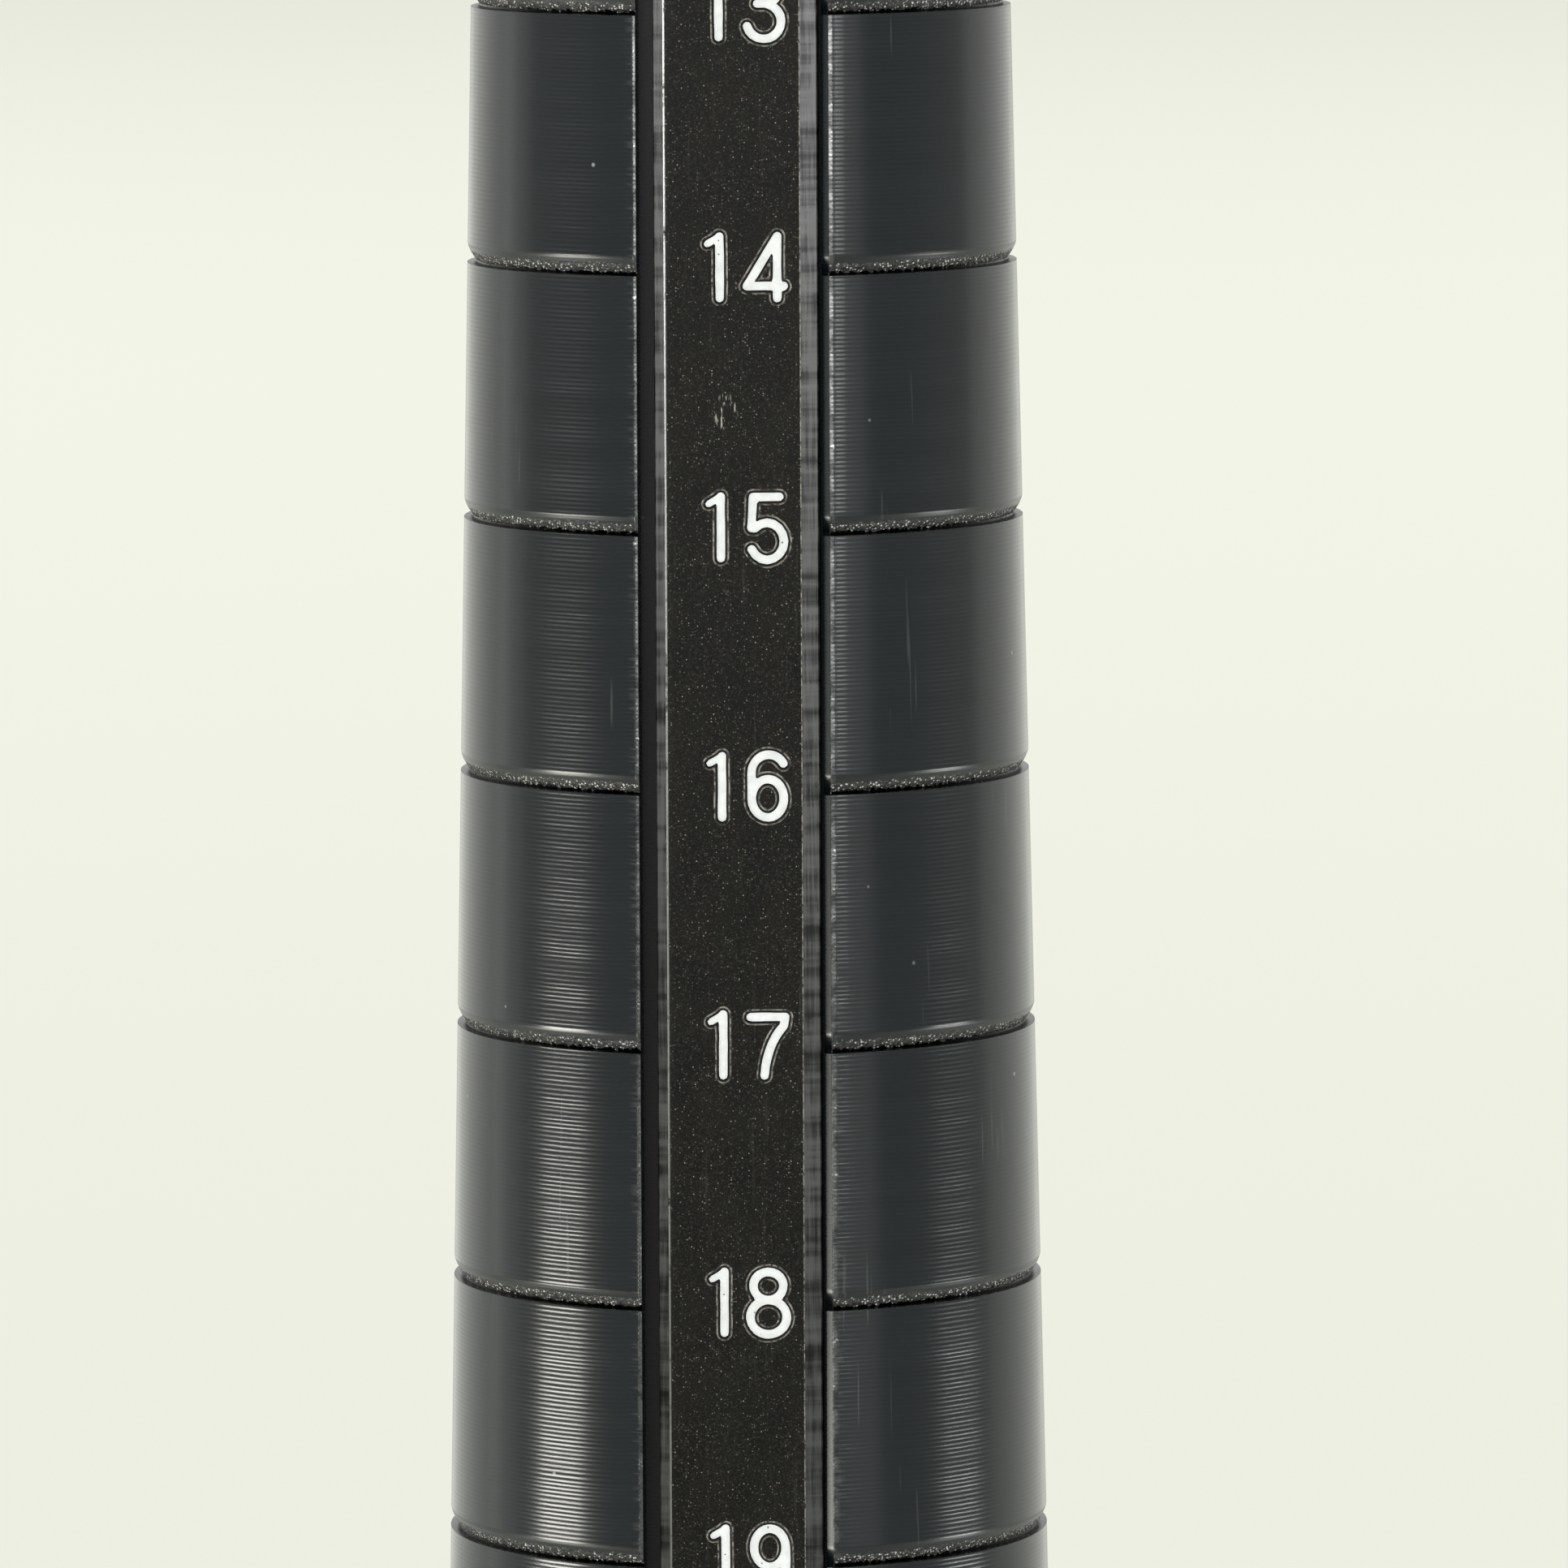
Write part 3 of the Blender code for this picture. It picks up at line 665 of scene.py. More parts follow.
# One row is a ring: the outer arc from the channel's right edge round the back to its left edge,
# that side of the channel down, the floor across, and the other side up again
def bodyRing(z, share, inset):
    shape = bodyShape
    leftmost, rightmost = (shape[side + "Half"] + shape[side + "Wear"] for side in ("left", "right"))
    radius = (taperRadius(z) - share * shape["grooveDepth"] - inset)[:, None]
    floorY = -(taperRadius(z) - shape["channelDepth"] / math.cos(taperAngle))[:, None]
    startTurn, endTurn = np.arcsin(rightmost / radius), 2 * math.pi - np.arcsin(leftmost / radius)
    # even steps round the arc, with closer ones where it meets the channel
    steps = np.linspace(0, 1, shape["around"])
    steps = np.concatenate(([0, 0.0006, 0.0022, 0.0075], steps[1:-1], [0.9925, 0.9978, 0.9994, 1]))
    turn = startTurn + steps * (endTurn - startTurn)
    arc = np.stack((radius * np.sin(turn), -radius * np.cos(turn)), -1)
    left = channelSide(radius, floorY, "left") * [-1, 1]
    right = channelSide(radius, floorY, "right")[:, ::-1]
    acrossX = np.broadcast_to([-1.5, 0, 1.5], (len(z), 3))
    across = np.stack((acrossX, np.broadcast_to(floorY, (len(z), 3))), -1)
    ring = np.concatenate((arc, left, across, right), 1)
    # how worn, and how turned, each column is: the close steps of the arc, then a side's columns
    wornStart = np.array([1.0, 0.5, 0.24, 0.0])
    wornSide = np.array([1.0, 1.0, 1.0, 0.9, 0.0, 0.0, 0.0, 0.0])
    turnedSide = np.array([0.4, 0.2, 0.1, 0.1, 0.0, 0.0, 0.0, 0.0])
    plainArc, floor = np.zeros(shape["around"] - 2), np.zeros(3)
    edge = np.concatenate((wornStart, plainArc, wornStart[::-1], wornSide, floor, wornSide[::-1]))
    turned = np.concatenate((np.ones(arc.shape[1]), turnedSide, floor, turnedSide[::-1]))
    return ring, edge, turned


# a flat ring between two closed loops of points, as triangles that face up or down
def fillBetween(points, outer, inner, up):
    work = bmesh.new()
    corners = [work.verts.new(points[i]) for i in (*outer, *inner)]
    count = len(outer)
    edges = [work.edges.new((corners[i], corners[(i + 1) % count])) for i in range(count)]
    more = len(inner)
    edges += [work.edges.new((corners[count + i], corners[count + (i + 1) % more])) for i in range(more)]
    work.verts.index_update()
    bmesh.ops.triangle_fill(work, use_beauty=True, use_dissolve=False, edges=edges)
    lookup = [*outer, *inner]
    faces = []
    for face in work.faces:
        loop = [lookup[corner.index] for corner in face.verts]
        a, b, c = (np.asarray(points[i]) for i in loop)
        facing = np.cross(b - a, c - a)[2]
        faces.append(loop if (facing > 0) == up else loop[::-1])
    work.free()
    return faces


# The body is bodyRing carried up bodyRows, closed by two flat rings. The lower one leads to a plain
# spigot with a bore, and the upper one to a cone, the centre hole that the lathe held it by.
def makeBody():
    shape = bodyShape
    low, high = boxOf("tapered_body")
    foot, tip = low[2], high[2]
    base = boxOf("ferrule")[1][2] + shape["gap"]
    z, share, climb, inset = bodyRows(base, tip)
    ring, edge, turned = bodyRing(z, share, inset)
    rows, columns = ring.shape[:2]
    heights = np.broadcast_to(z[:, None, None], (rows, columns, 1))
    points = np.concatenate((ring, heights), -1).reshape(-1, 3)
    faces = ringQuads(rows, columns)
    fields = {
        "climb": np.repeat(climb, columns) * np.tile(turned > 0, rows),
        "edge": np.tile(edge, rows) * (1 - np.repeat(share, columns)),
        "turned": np.tile(turned, rows),
    }
    around = shape["roundPoints"]
    angle = np.arange(around) * 2 * math.pi / around

    def plainRing(radius, height):
        return np.stack((radius * np.sin(angle), -radius * np.cos(angle), np.full(around, height)), -1)

    boreEnd = base - shape["boreStop"]
    below = [
        plainRing(shape["spigotRadius"], base),
        plainRing(shape["spigotRadius"], foot + shape["spigotChamfer"]),
        plainRing(shape["spigotRadius"] - shape["spigotChamfer"], foot),
        plainRing(shape["boreRadius"], foot),
        plainRing(shape["boreRadius"], boreEnd),
    ]
    above = plainRing(shape["centreRadius"], tip)
    count = len(points)
    points = np.concatenate(
        (points, *below, [[0, 0, boreEnd]], above, [[0, 0, tip - shape["centreDepth"]]])
    )
    spigot = [np.arange(around) + count + around * k for k in range(len(below))]
    for upper, lower in zip(spigot, spigot[1:]):
        nextUpper, nextLower = np.roll(upper, -1), np.roll(lower, -1)
        faces += np.stack((lower, nextLower, nextUpper, upper), -1).tolist()
    boreCentre = count + around * len(below)
    faces += fan(boreCentre, spigot[-1], flip=True)
    centre = np.arange(around) + boreCentre + 1
    faces += fan(boreCentre + 1 + around, centre)
    faces += fillBetween(points, range(columns), spigot[0], up=False)
    faces += fillBetween(points, range((rows - 1) * columns, rows * columns), centre, up=True)
    more = np.zeros(len(points) - count)
    fields = {field: np.concatenate((values, more)) for field, values in fields.items()}
    body = writeMesh("turned_taper", points, faces, [turnedPlastic()], sharpOver=38, fields=fields)
    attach(body, "root")
    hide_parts("tapered_body")
    print("body:", rows, "rows of", columns)


# points along part of an ellipse, from one angle to another in degrees
def bow(cx, cy, rx, ry, start, end, pieces=14):
    turn = np.radians(np.linspace(start, end, pieces))
    return list(zip(cx + rx * np.cos(turn), cy + ry * np.sin(turn)))


# Each figure is a list of strokes; x is from its middle and y from its foot, in millimetres
figures = {
    "0": [bow(0, 0.95, 0.50, 0.96, 90, 450, 26)],
    "1": [[(-0.30, 1.68), (-0.14, 1.77), (0.06, 1.90)], [(0.08, 1.91), (0.08, 0.0)]],
    "2": [bow(0, 1.40, 0.50, 0.52, 165, -25) + [(-0.50, 0.0), (0.52, 0.0)]],
    "3": [
        bow(0, 1.45, 0.46, 0.45, 155, -75),
        [(-0.2, 1.03), (0.05, 1.03)] + bow(0, 0.48, 0.54, 0.54, 75, -165),
    ],
    "4": [[(0.38, 0.0), (0.38, 1.91), (-0.56, 0.37), (0.58, 0.37)]],
    "5": [[(0.42, 1.90), (-0.40, 1.90), (-0.45, 0.94)] + bow(0.03, 0.52, 0.53, 0.58, 135, -155)],
    "7": [[(-0.55, 1.83), (0.53, 1.83)] + bow(1.45, -0.15, 1.57, 2.17, 128, 176, 8)],
    "8": [bow(-0.03, 1.47, 0.47, 0.44, 90, 450, 22), bow(-0.03, 0.49, 0.57, 0.54, 90, 450, 24)],
    "9": [
        bow(-0.02, 1.31, 0.50, 0.60, 0, 360, 24),
        [(0.48, 1.31), (0.48, 0.58)] + bow(-0.05, 0.51, 0.53, 0.56, 0, -150),
    ],
}
figureHeight = 1.90
# the 6 is the 9 turned half round
figures["6"] = [[(-x, figureHeight - y) for x, y in stroke] for stroke in figures["9"]]
slimmer = {"1": 0.03}  # how much narrower a figure's first stroke is
numberPlaces = {
    "pair": (-0.45, 1.03),  # middles of a number's figures
    "single": (0.35,),
    "middle": 0.955,  # height of a number's middle over its foot
    "rise": 0.30,  # from a size's edge to the middle of its number
}
farAway = 9.0  # distance of a point with no stroke near it


# distance from each point to the nearest stroke of a number
def strokeDistance(x, y, size):
    text = str(size)
    places = numberPlaces["pair" if len(text) == 2 else "single"]
    nearest = np.full(x.shape, farAway)
    for place, figure in zip(places, text):
        for number, stroke in enumerate(figures[figure]):
            slim = slimmer.get(figure, 0) if number == 0 else 0
            for (ax, ay), (bx, by) in zip(stroke, stroke[1:]):
                dx, dy = bx - ax, by - ay
                t = ((x - place - ax) * dx + (y - ay) * dy) / (dx * dx + dy * dy + 1e-12)
                t = np.clip(t, 0, 1)
                away = np.hypot(x - place - ax - t * dx, y - ay - t * dy)
                nearest = np.minimum(nearest, away + slim)
    return nearest


stripShape = {
    "faceDepth": 0.45,
    "thickness": 1.2,
    "leftFace": 2.04,  # from the middle to each side of the face
    "rightFace": 2.1,
    "leftBevel": 0.37,
    "rightBevel": 0.57,
    "leftTilt": 13.0,  # degrees that each bevel leans from the face
    "rightTilt": 16.5,
    "leftRim": 0.06,  # width of the bared edge between face and bevel
    "rightRim": 0.03,
    "cell": 0.084,  # side of the face's grid cells
    "figuresFrom": -1.20,  # where the figures' fine cells start and end, across the face
    "figuresTo": 1.98,
    "figuresReach": 1.36,  # and how far along the strip from a number's middle
    "screwReach": 1.5,
    "paintHalf": 0.132,  # from the middle of a stroke to the border of its paint
    "cutHalf": 0.205,  # to the top of the cut's side
    "burrHalf": 0.252,  # to the foot of the burr
    "cutDepth": 0.09,
    "paintSink": 0.045,  # from the face down to the paint's top at its border
    "paintDome": 0.02,  # how much higher the paint is along the middle of a stroke
    "paintLump": 0.006,
    "burrRise": 0.012,
    "headRadius": 1.25,
    "headClear": 0.08,  # from the screw's head to the rim of its countersink
    "sinkDepth": 0.75,
}
# Its materials, in the order of their numbers on the faces
slotFace, slotWall, slotBurr, slotBevel, slotRim = range(5)


# Cuts triangles along one value of a field: on each crossed side a point is added where the field
# has that value, and the triangle becomes three. Points are rows of (x, depth, along, field).
def splitAlong(points, triangles, band, level):
    over = points[:, 3] > level
    count = over[triangles].sum(1)
    crossed = (count == 1) | (count == 2)
    whole, cut = triangles[~crossed], triangles[crossed]
    wholeBand = band[~crossed] + (count[~crossed] == 3)
    lone = over[cut] == (count[crossed] == 1)[:, None]
    first = lone.argmax(1)
    turn = (first[:, None] + np.arange(3)) % 3
    cut = np.take_along_axis(cut, turn, 1)
    sides = np.concatenate((cut[:, [0, 1]], cut[:, [0, 2]]))
    ends = np.sort(sides, 1)
    pairs, which = np.unique(ends, axis=0, return_inverse=True)
    a, b = points[pairs[:, 0]], points[pairs[:, 1]]
    share = (level - a[:, 3]) / (b[:, 3] - a[:, 3])
    share = np.clip(share, 0.04, 0.96)[:, None]  # off the ends, so that no sliver is made
    made = a + (b - a) * share
    made[:, 3] = level
    which = which.reshape(-1) + len(points)
    onB, onC = which[: len(cut)], which[len(cut) :]
    tips = np.stack((cut[:, 0], onB, onC), 1)
    rest = np.concatenate(
        (np.stack((onB, cut[:, 1], cut[:, 2]), 1), np.stack((onB, cut[:, 2], onC), 1))
    )
    tipOver = over[cut[:, 0]].astype(int)
    cutBand = band[crossed]
    bands = np.concatenate((wholeBand, cutBand + tipOver, cutBand + 1 - tipOver, cutBand + 1 - tipOver))
    return np.concatenate((points, made)), np.concatenate((whole, tips, rest)), bands


# strip coordinates (across, depth under the taper's line, distance along) to the object's own frame
def fromStrip(across, depth, along, middle):
    c, s = math.cos(taperAngle), math.sin(taperAngle)
    y = -taperRadius(middle) + along * s + depth * c
    return np.stack((across, y, middle + along * c - depth * s), -1)


def stripEnds():
    low, high = boxOf("number_strip")
    middle = (low[2] + high[2]) / 2
    return middle, (high[2] - low[2]) / 2 / math.cos(taperAngle) - 0.01


# how far along the strip each of its two screws is
def screwPlaces(middle):
    found = {}
    for node in ("strip_screw_base", "strip_screw_tip"):
        low, high = boxOf(node)
        found[node] = ((low[2] + high[2]) / 2 - middle) / math.cos(taperAngle)
    return found


# The strip's section, as a closed loop from the face's left edge over the face, the right bevel, the
# back and the left bevel, and the rows along it, which are close together at each number and screw
def stripGrid(middle, half):
    shape = stripShape
    cell = shape["cell"]
    face, back = shape["faceDepth"], shape["faceDepth"] + shape["thickness"]
    edge, leftEdge = shape["rightFace"], shape["leftFace"]
    slopeLeft, slopeRight = (math.tan(math.radians(shape[k])) for k in ("leftTilt", "rightTilt"))
    fine = np.arange(shape["figuresFrom"], shape["figuresTo"], cell)
    faceX = np.concatenate(([-leftEdge, -1.8, -1.5, -1.3], fine, [edge - 0.06, edge]))
    rightX = edge + np.array([shape["rightRim"], shape["rightBevel"] * 0.5, shape["rightBevel"] - 0.04])
    rightD = face + (rightX - edge) * slopeRight
    farRight, farLeft = edge + shape["rightBevel"], -leftEdge - shape["leftBevel"]
    leftX = np.array([farLeft + 0.03, -leftEdge - shape["leftRim"]])
    leftD = face + (-leftEdge - leftX) * slopeLeft
    corner = 0.05  # chamfer of the two back corners and of the bevels' outer edges
    sideX = [farRight, farRight, farRight - corner, 0.0, farLeft + corner, farLeft, farLeft]
    sideD = [rightD[-1] + corner, back - corner, back, back, back, back - corner, leftD[0] + corner]
    x = np.concatenate((faceX, rightX, sideX, leftX))
    depth = np.concatenate((np.full(len(faceX), face), rightD, sideD, leftD))
    sizes = np.arange(sizeLaw["sizes"], 0, -1)
    centres = (edgeHeight(sizes) + numberPlaces["rise"] - middle) / math.cos(taperAngle)
    near = np.arange(-shape["figuresReach"], shape["figuresReach"] + 0.01, cell)
    rows = [(centres[:, None] + near[None]).ravel(), centres[:-1] + sizeLaw["pitch"] / 2]
    for along in screwPlaces(middle).values():
        rows.append(along + np.arange(-shape["screwReach"], shape["screwReach"] + 0.01, cell * 1.2))
    rows = np.unique(np.round(np.concatenate((*rows, [-half, half])), 5))
    rows = rows[np.concatenate(([True], np.diff(rows) > 0.03))]
    return x, depth, rows, len(faceX), centres, sizes


# the field: distance to the strokes of the nearest number, made a little uneven, or to a screw's rim
def engravedField(x, along, centres, sizes, middle):
    shape = stripShape
    field = np.full((len(along), len(x)), farAway)
    for centre, size in zip(centres, sizes):
        rows = np.abs(along - centre) < shape["figuresReach"] + 0.14
        across, up = np.meshgrid(x, along[rows] - centre + numberPlaces["middle"])
        away = strokeDistance(across, up, size)
        field[rows] = away + 0.012 * ripple(across, up, 40 + int(size), finest=11.0)
    for place in screwPlaces(middle).values():
        rows = np.abs(along - place) < shape["screwReach"] + 0.1
        across, up = np.meshgrid(x, along[rows] - place)
        rim = shape["headRadius"] + shape["headClear"]
        field[rows] = np.hypot(across, up) - rim + shape["cutHalf"]
    return field


# The strip is its section carried along the taper's line. The face is cut into triangles along the
# borders of paint, cut and burr, and each point then sinks by its distance from the stroke's middle.
def makeStrip():
    shape = stripShape
    middle, half = stripEnds()
    x, depth, along, faceCount, centres, sizes = stripGrid(middle, half)
    rows, columns = len(along), len(x)
    field = np.full((rows, columns), farAway)
    field[:, :faceCount] = engravedField(x[:faceCount], along, centres, sizes, middle)
    acrossGrid, alongGrid = np.meshgrid(x, along)
    depthGrid = np.broadcast_to(depth, (rows, columns))
    points = np.stack((acrossGrid, depthGrid, alongGrid, field), -1).reshape(-1, 4)
    quads = np.array(ringQuads(rows, columns))
    triangles = np.concatenate((quads[:, [0, 1, 2]], quads[:, [0, 2, 3]]))
    column = np.tile(np.arange(columns), 2 * (rows - 1))
    onFace = column < faceCount - 1
    face, band = triangles[onFace], np.zeros(onFace.sum(), int)
    beside, besideColumn = triangles[~onFace], column[~onFace]
    borders = (shape["paintHalf"], shape["cutHalf"], shape["burrHalf"])
    for level in borders:
        points, face, band = splitAlong(points, face, band, level)
    away = points[:, 3]
    isScrew = np.zeros(len(points), bool)
    for place in screwPlaces(middle).values():
        isScrew |= np.abs(points[:, 2] - place) < shape["screwReach"] + 0.1
    # engraved: a flat bed under the paint, a slope up to the burr, and the burr's fall to the face
    depths = [shape["cutDepth"], shape["cutDepth"], -shape["burrRise"], 0, 0]
    cut = np.interp(away, [0, *borders, farAway + 1], depths)
    # countersink: as deep as the point is inside its rim, down to a flat seat
    sink = np.clip(shape["cutHalf"] - away, 0, shape["sinkDepth"])
    points[:, 1] += np.where(isScrew, sink, cut)
    placed = fromStrip(points[:, 0], points[:, 1], points[:, 2], middle)
    faceSlots = np.choose(band, [slotWall, slotWall, slotBurr, slotFace])
    besideSlots = np.full(len(beside), slotBevel)
    besideSlots[besideColumn == columns - 1] = slotRim
    besideSlots[besideColumn == faceCount - 1] = slotBurr
    slots = np.concatenate((faceSlots, besideSlots, [slotBevel, slotBevel]))
    ends = [list(range(columns))[::-1], list(range((rows - 1) * columns, rows * columns))]
    faces = face.tolist() + beside.tolist() + ends
    materials = [anodisedFace(), engravedWall(), engravedBurr(), anodisedBevel(), baredEdge()]
    strip = writeMesh("engraved_strip", placed, faces, materials, slots, sharpOver=14)
    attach(strip, "root")
    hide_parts("number_strip")
    print("strip:", len(faces), "faces")
    makePaint(points, face[band == 0], middle, isScrew)


# The paint is a thin closed slab on the engraved bed: its top is domed towards the middle of each
# stroke, its underside lies just over the bed, and a wall joins them round the border
def makePaint(points, faces, middle, isScrew):
    shape = stripShape
    faces = faces[~isScrew[faces].any(1)]
    used, packed = np.unique(faces, return_inverse=True)
    faces = packed.reshape(-1, 3)
    flat = points[used]
    share = np.clip(flat[:, 3] / shape["paintHalf"], 0, 1)
    lumpy = shape["paintLump"] * ripple(flat[:, 0], flat[:, 2], 7, finest=7.0)
    top = shape["faceDepth"] + shape["paintSink"] - shape["paintDome"] * (1 - share**2) + lumpy
    under = np.full(len(flat), shape["faceDepth"] + shape["cutDepth"] - 0.005)
    upper = fromStrip(flat[:, 0], top, flat[:, 2], middle)
    lower = fromStrip(flat[:, 0], under, flat[:, 2], middle)
    count = len(flat)
    sides = np.concatenate((faces[:, [0, 1]], faces[:, [1, 2]], faces[:, [2, 0]]))
    code = sides[:, 0] * count + sides[:, 1]
    mirror = sides[:, 1] * count + sides[:, 0]
    border = sides[~np.isin(code, mirror)]
    walls = np.stack((border[:, 1], border[:, 0], border[:, 0] + count, border[:, 1] + count), 1)
    slab = faces.tolist() + (faces[:, ::-1] + count).tolist() + walls.tolist()
    paint = writeMesh("size_numbers", np.concatenate((upper, lower)), slab, [whitePaint()], sharpOver=50)
    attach(paint, "root")
    print("numbers:", len(slab), "faces")


screwShape = {
    "crossLength": 0.78,
    "crossHalf": 0.15,
    "crossDepth": 0.42,
    "crossTurns": (20, 110),  # degrees
    "seat": 0.08,  # how far the head lies under the strip's face
    "coneEnd": 0.77,  # depths under the head's top, down to the screw's point
    "shankEnd": 3.6,
    "length": 4.2,
    "shankRadius": 0.6,
    "around": 96,
}


# A countersunk screw as a polar grid. Its head's top sinks by the cross depth where a point is
# within either arm; below, the profile runs down the cone and the shank to the axis.
def makeStripScrew(node, along, middle):
    shape = screwShape
    around = shape["around"]
    angle = np.arange(around) * 2 * math.pi / around
    radius = stripShape["headRadius"]
    topR, turns = np.meshgrid(np.linspace(0.04, radius - 0.06, 22), angle, indexing="ij")
    arms = []
    for turn in shape["crossTurns"]:
        onArm = np.abs(topR * np.cos(turns - math.radians(turn)))
        offArm = np.abs(topR * np.sin(turns - math.radians(turn)))
        wide = 1 - eased(offArm, shape["crossHalf"] - 0.03, shape["crossHalf"] + 0.05)
        long = 1 - eased(onArm, shape["crossLength"] - 0.1, shape["crossLength"] + 0.04)
        arms.append(wide * long)
    top = -shape["crossDepth"] * np.maximum(*arms)
    rim = [(radius - 0.02, -0.02), (radius, -0.08), (radius, -0.12)]
    shank = [(shape["shankRadius"], -shape["coneEnd"]), (shape["shankRadius"], -shape["shankEnd"])]
    down = np.array([*rim, *shank, (0.2, -shape["length"])])
    downR, downH = (np.broadcast_to(down[:, k : k + 1], (len(down), around)) for k in (0, 1))
    r = np.concatenate((topR, downR))[::-1]
    h = np.concatenate((top, downH))[::-1]
    grid = np.stack((r * np.sin(angle), -r * np.cos(angle), h), -1).reshape(-1, 3)
    grid = np.concatenate((grid, [[0, 0, -shape["length"]], [0, 0, -shape["crossDepth"]]]))
    faces = closedRings(len(r), around)
    # stand it on the strip: its own up points out of the strip's face
    lean = math.pi / 2 - taperAngle
    c, s = math.cos(lean), math.sin(lean)
    y, z = grid[:, 1], grid[:, 2]
    seat = fromStrip(0.0, stripShape["faceDepth"] + shape["seat"], along, middle)
    turned = np.stack((grid[:, 0], y * c - z * s, y * s + z * c), -1) + seat
    screw = writeMesh(node + "_fine", turned, faces, [looks["blackened_screw"]])
    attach(screw, "root")
    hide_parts(node)


setScrewShape = {"around": 72, "radius": 1.62, "tipRadius": 1.3, "socketHalf": 0.72, "socketDepth": 1.5}


# A set screw seen from its outer end: rings that go from a circle at the rim to a hexagon at the
# socket's edge, then straight down to the socket's floor
def makeSetScrew():
    shape = setScrewShape
    low, high = boxOf("ferrule_set_screw")
    centreZ = (low[2] + high[2]) / 2
    outer, inner = high[1], low[1]
    socketFloor = outer - shape["socketDepth"]
    around = shape["around"]
    angle = np.arange(around) * 2 * math.pi / around
    hexagon = shape["socketHalf"] / np.cos((angle + math.pi / 6) % (math.pi / 3) - math.pi / 6)
    circle = np.ones(around)
    rings = [
        (circle * shape["tipRadius"], inner),
        (circle * shape["radius"], inner + 0.3),
        (circle * shape["radius"], outer - 0.28),
        (circle * (shape["radius"] - 0.2), outer - 0.05),
        (circle * (shape["radius"] - 0.26), outer),
        (hexagon + 0.06, outer),
        (hexagon, outer - 0.06),
        (hexagon, socketFloor),
    ]
    r = np.array([ring for ring, _ in rings])
    y = np.array([np.full(around, level) for _, level in rings])
    grid = np.stack((r * np.cos(angle), y, centreZ + r * np.sin(angle)), -1).reshape(-1, 3)
    grid = np.concatenate((grid, [[0, inner, centreZ], [0, socketFloor, centreZ]]))
    faces = closedRings(len(rings), around, flip=True)
    screw = writeMesh("set_screw_fine", grid, faces, [looks["blackened_screw"]])
    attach(screw, "root")
    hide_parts("ferrule_set_screw")
    return centreZ


ferruleShape = {
    "innerRadius": 8.3,
    "neckStep": 0.3,  # how much slimmer the collar is above its groove
    "grooveStep": 0.7,  # and in the groove
    "screwWay": 1.72,  # radius of the set screw's hole
    "rounding": [0.2, 0.7, 0.12, 0.12, 0.12, 0.12, 0.45, 0.2],  # at each corner of the outline
}


# A turned collar with one groove round its middle, and the set screw's way bored through its back
def makeFerrule(screwZ):
    shape = ferruleShape
    low, high = boxOf("ferrule")
    bottom, top, outer = low[2], high[2], high[0]
    middle = (bottom + top) / 2
    neck, groove = outer - shape["neckStep"], outer - shape["grooveStep"]
    outline = [
        (shape["innerRadius"], top),
        (neck, top),
        (neck, middle + 0.9),
        (groove, middle + 0.65),
        (groove, middle + 0.35),
        (outer, middle + 0.1),
        (outer, bottom),
        (shape["innerRadius"], bottom),
    ]
    outline = rounded(outline, shape["rounding"])
    collar = turnedPiece("ferrule_fine", outline, looks["turned_aluminium"], around=160)
    start, end = 4.0, 20.0  # the cutter runs from inside the bore to past the collar
    cutterOutline = [(0, end), (shape["screwWay"], end), (shape["screwWay"], start), (0, start)]
    cutter = turnedPiece("screw_way", cutterOutline, looks["turned_aluminium"], around=48)
    cutter.data.transform(Matrix.Translation((0, 0, screwZ * mm)) @ Matrix.Rotation(-math.pi / 2, 4, "X"))
    cutOut(collar, cutter)
    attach(collar, "root")
    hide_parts("ferrule")


handleShape = {
    # height and radius where the outline is level with the axis, from the top down
    "stations": [(88.0, 12.2), (84.0, 12.6), (49.0, 14.6), (18.0, 12.4), (4.6, 16.0), (1.2, 15.2)],
    # height at which each stretch of the bore ends and its radius, from the foot up
    "bore": [(2.9, 13.9), (20.3, 6.6), (69.4, 3.3), (88.0, 8.3)],
    "crownRound": 0.5,
    "footRound": 0.4,
    "rows": 300,
    "grooves": 6,
    "groovePitch": 6.0,
    "grooveMiddle": 49.0,
    "grooveHalf": 1.25,
    "grooveDepth": 0.8,
}


# radius at a height: an even s-curve from each station to the next, less the grip grooves, each a
# raised-cosine dip
def handleRadius(z):
    shape = handleShape
    radius = np.zeros_like(z)
    for (upper, upperRadius), (lower, lowerRadius) in zip(shape["stations"], shape["stations"][1:]):
        share = (upper - z) / (upper - lower)
        ease = (1 - np.cos(math.pi * np.clip(share, 0, 1))) / 2
        within = (z <= upper + 1e-6) & (z >= lower - 1e-6)
        radius = np.where(within, upperRadius + (lowerRadius - upperRadius) * ease, radius)
    first = shape["grooveMiddle"] + shape["groovePitch"] * (shape["grooves"] - 1) / 2
    for k in range(shape["grooves"]):
        off = np.clip(np.abs(z - first + shape["groovePitch"] * k) / shape["grooveHalf"], 0, 1)
        radius = radius - shape["grooveDepth"] * (1 + np.cos(math.pi * off)) / 2
    return radius


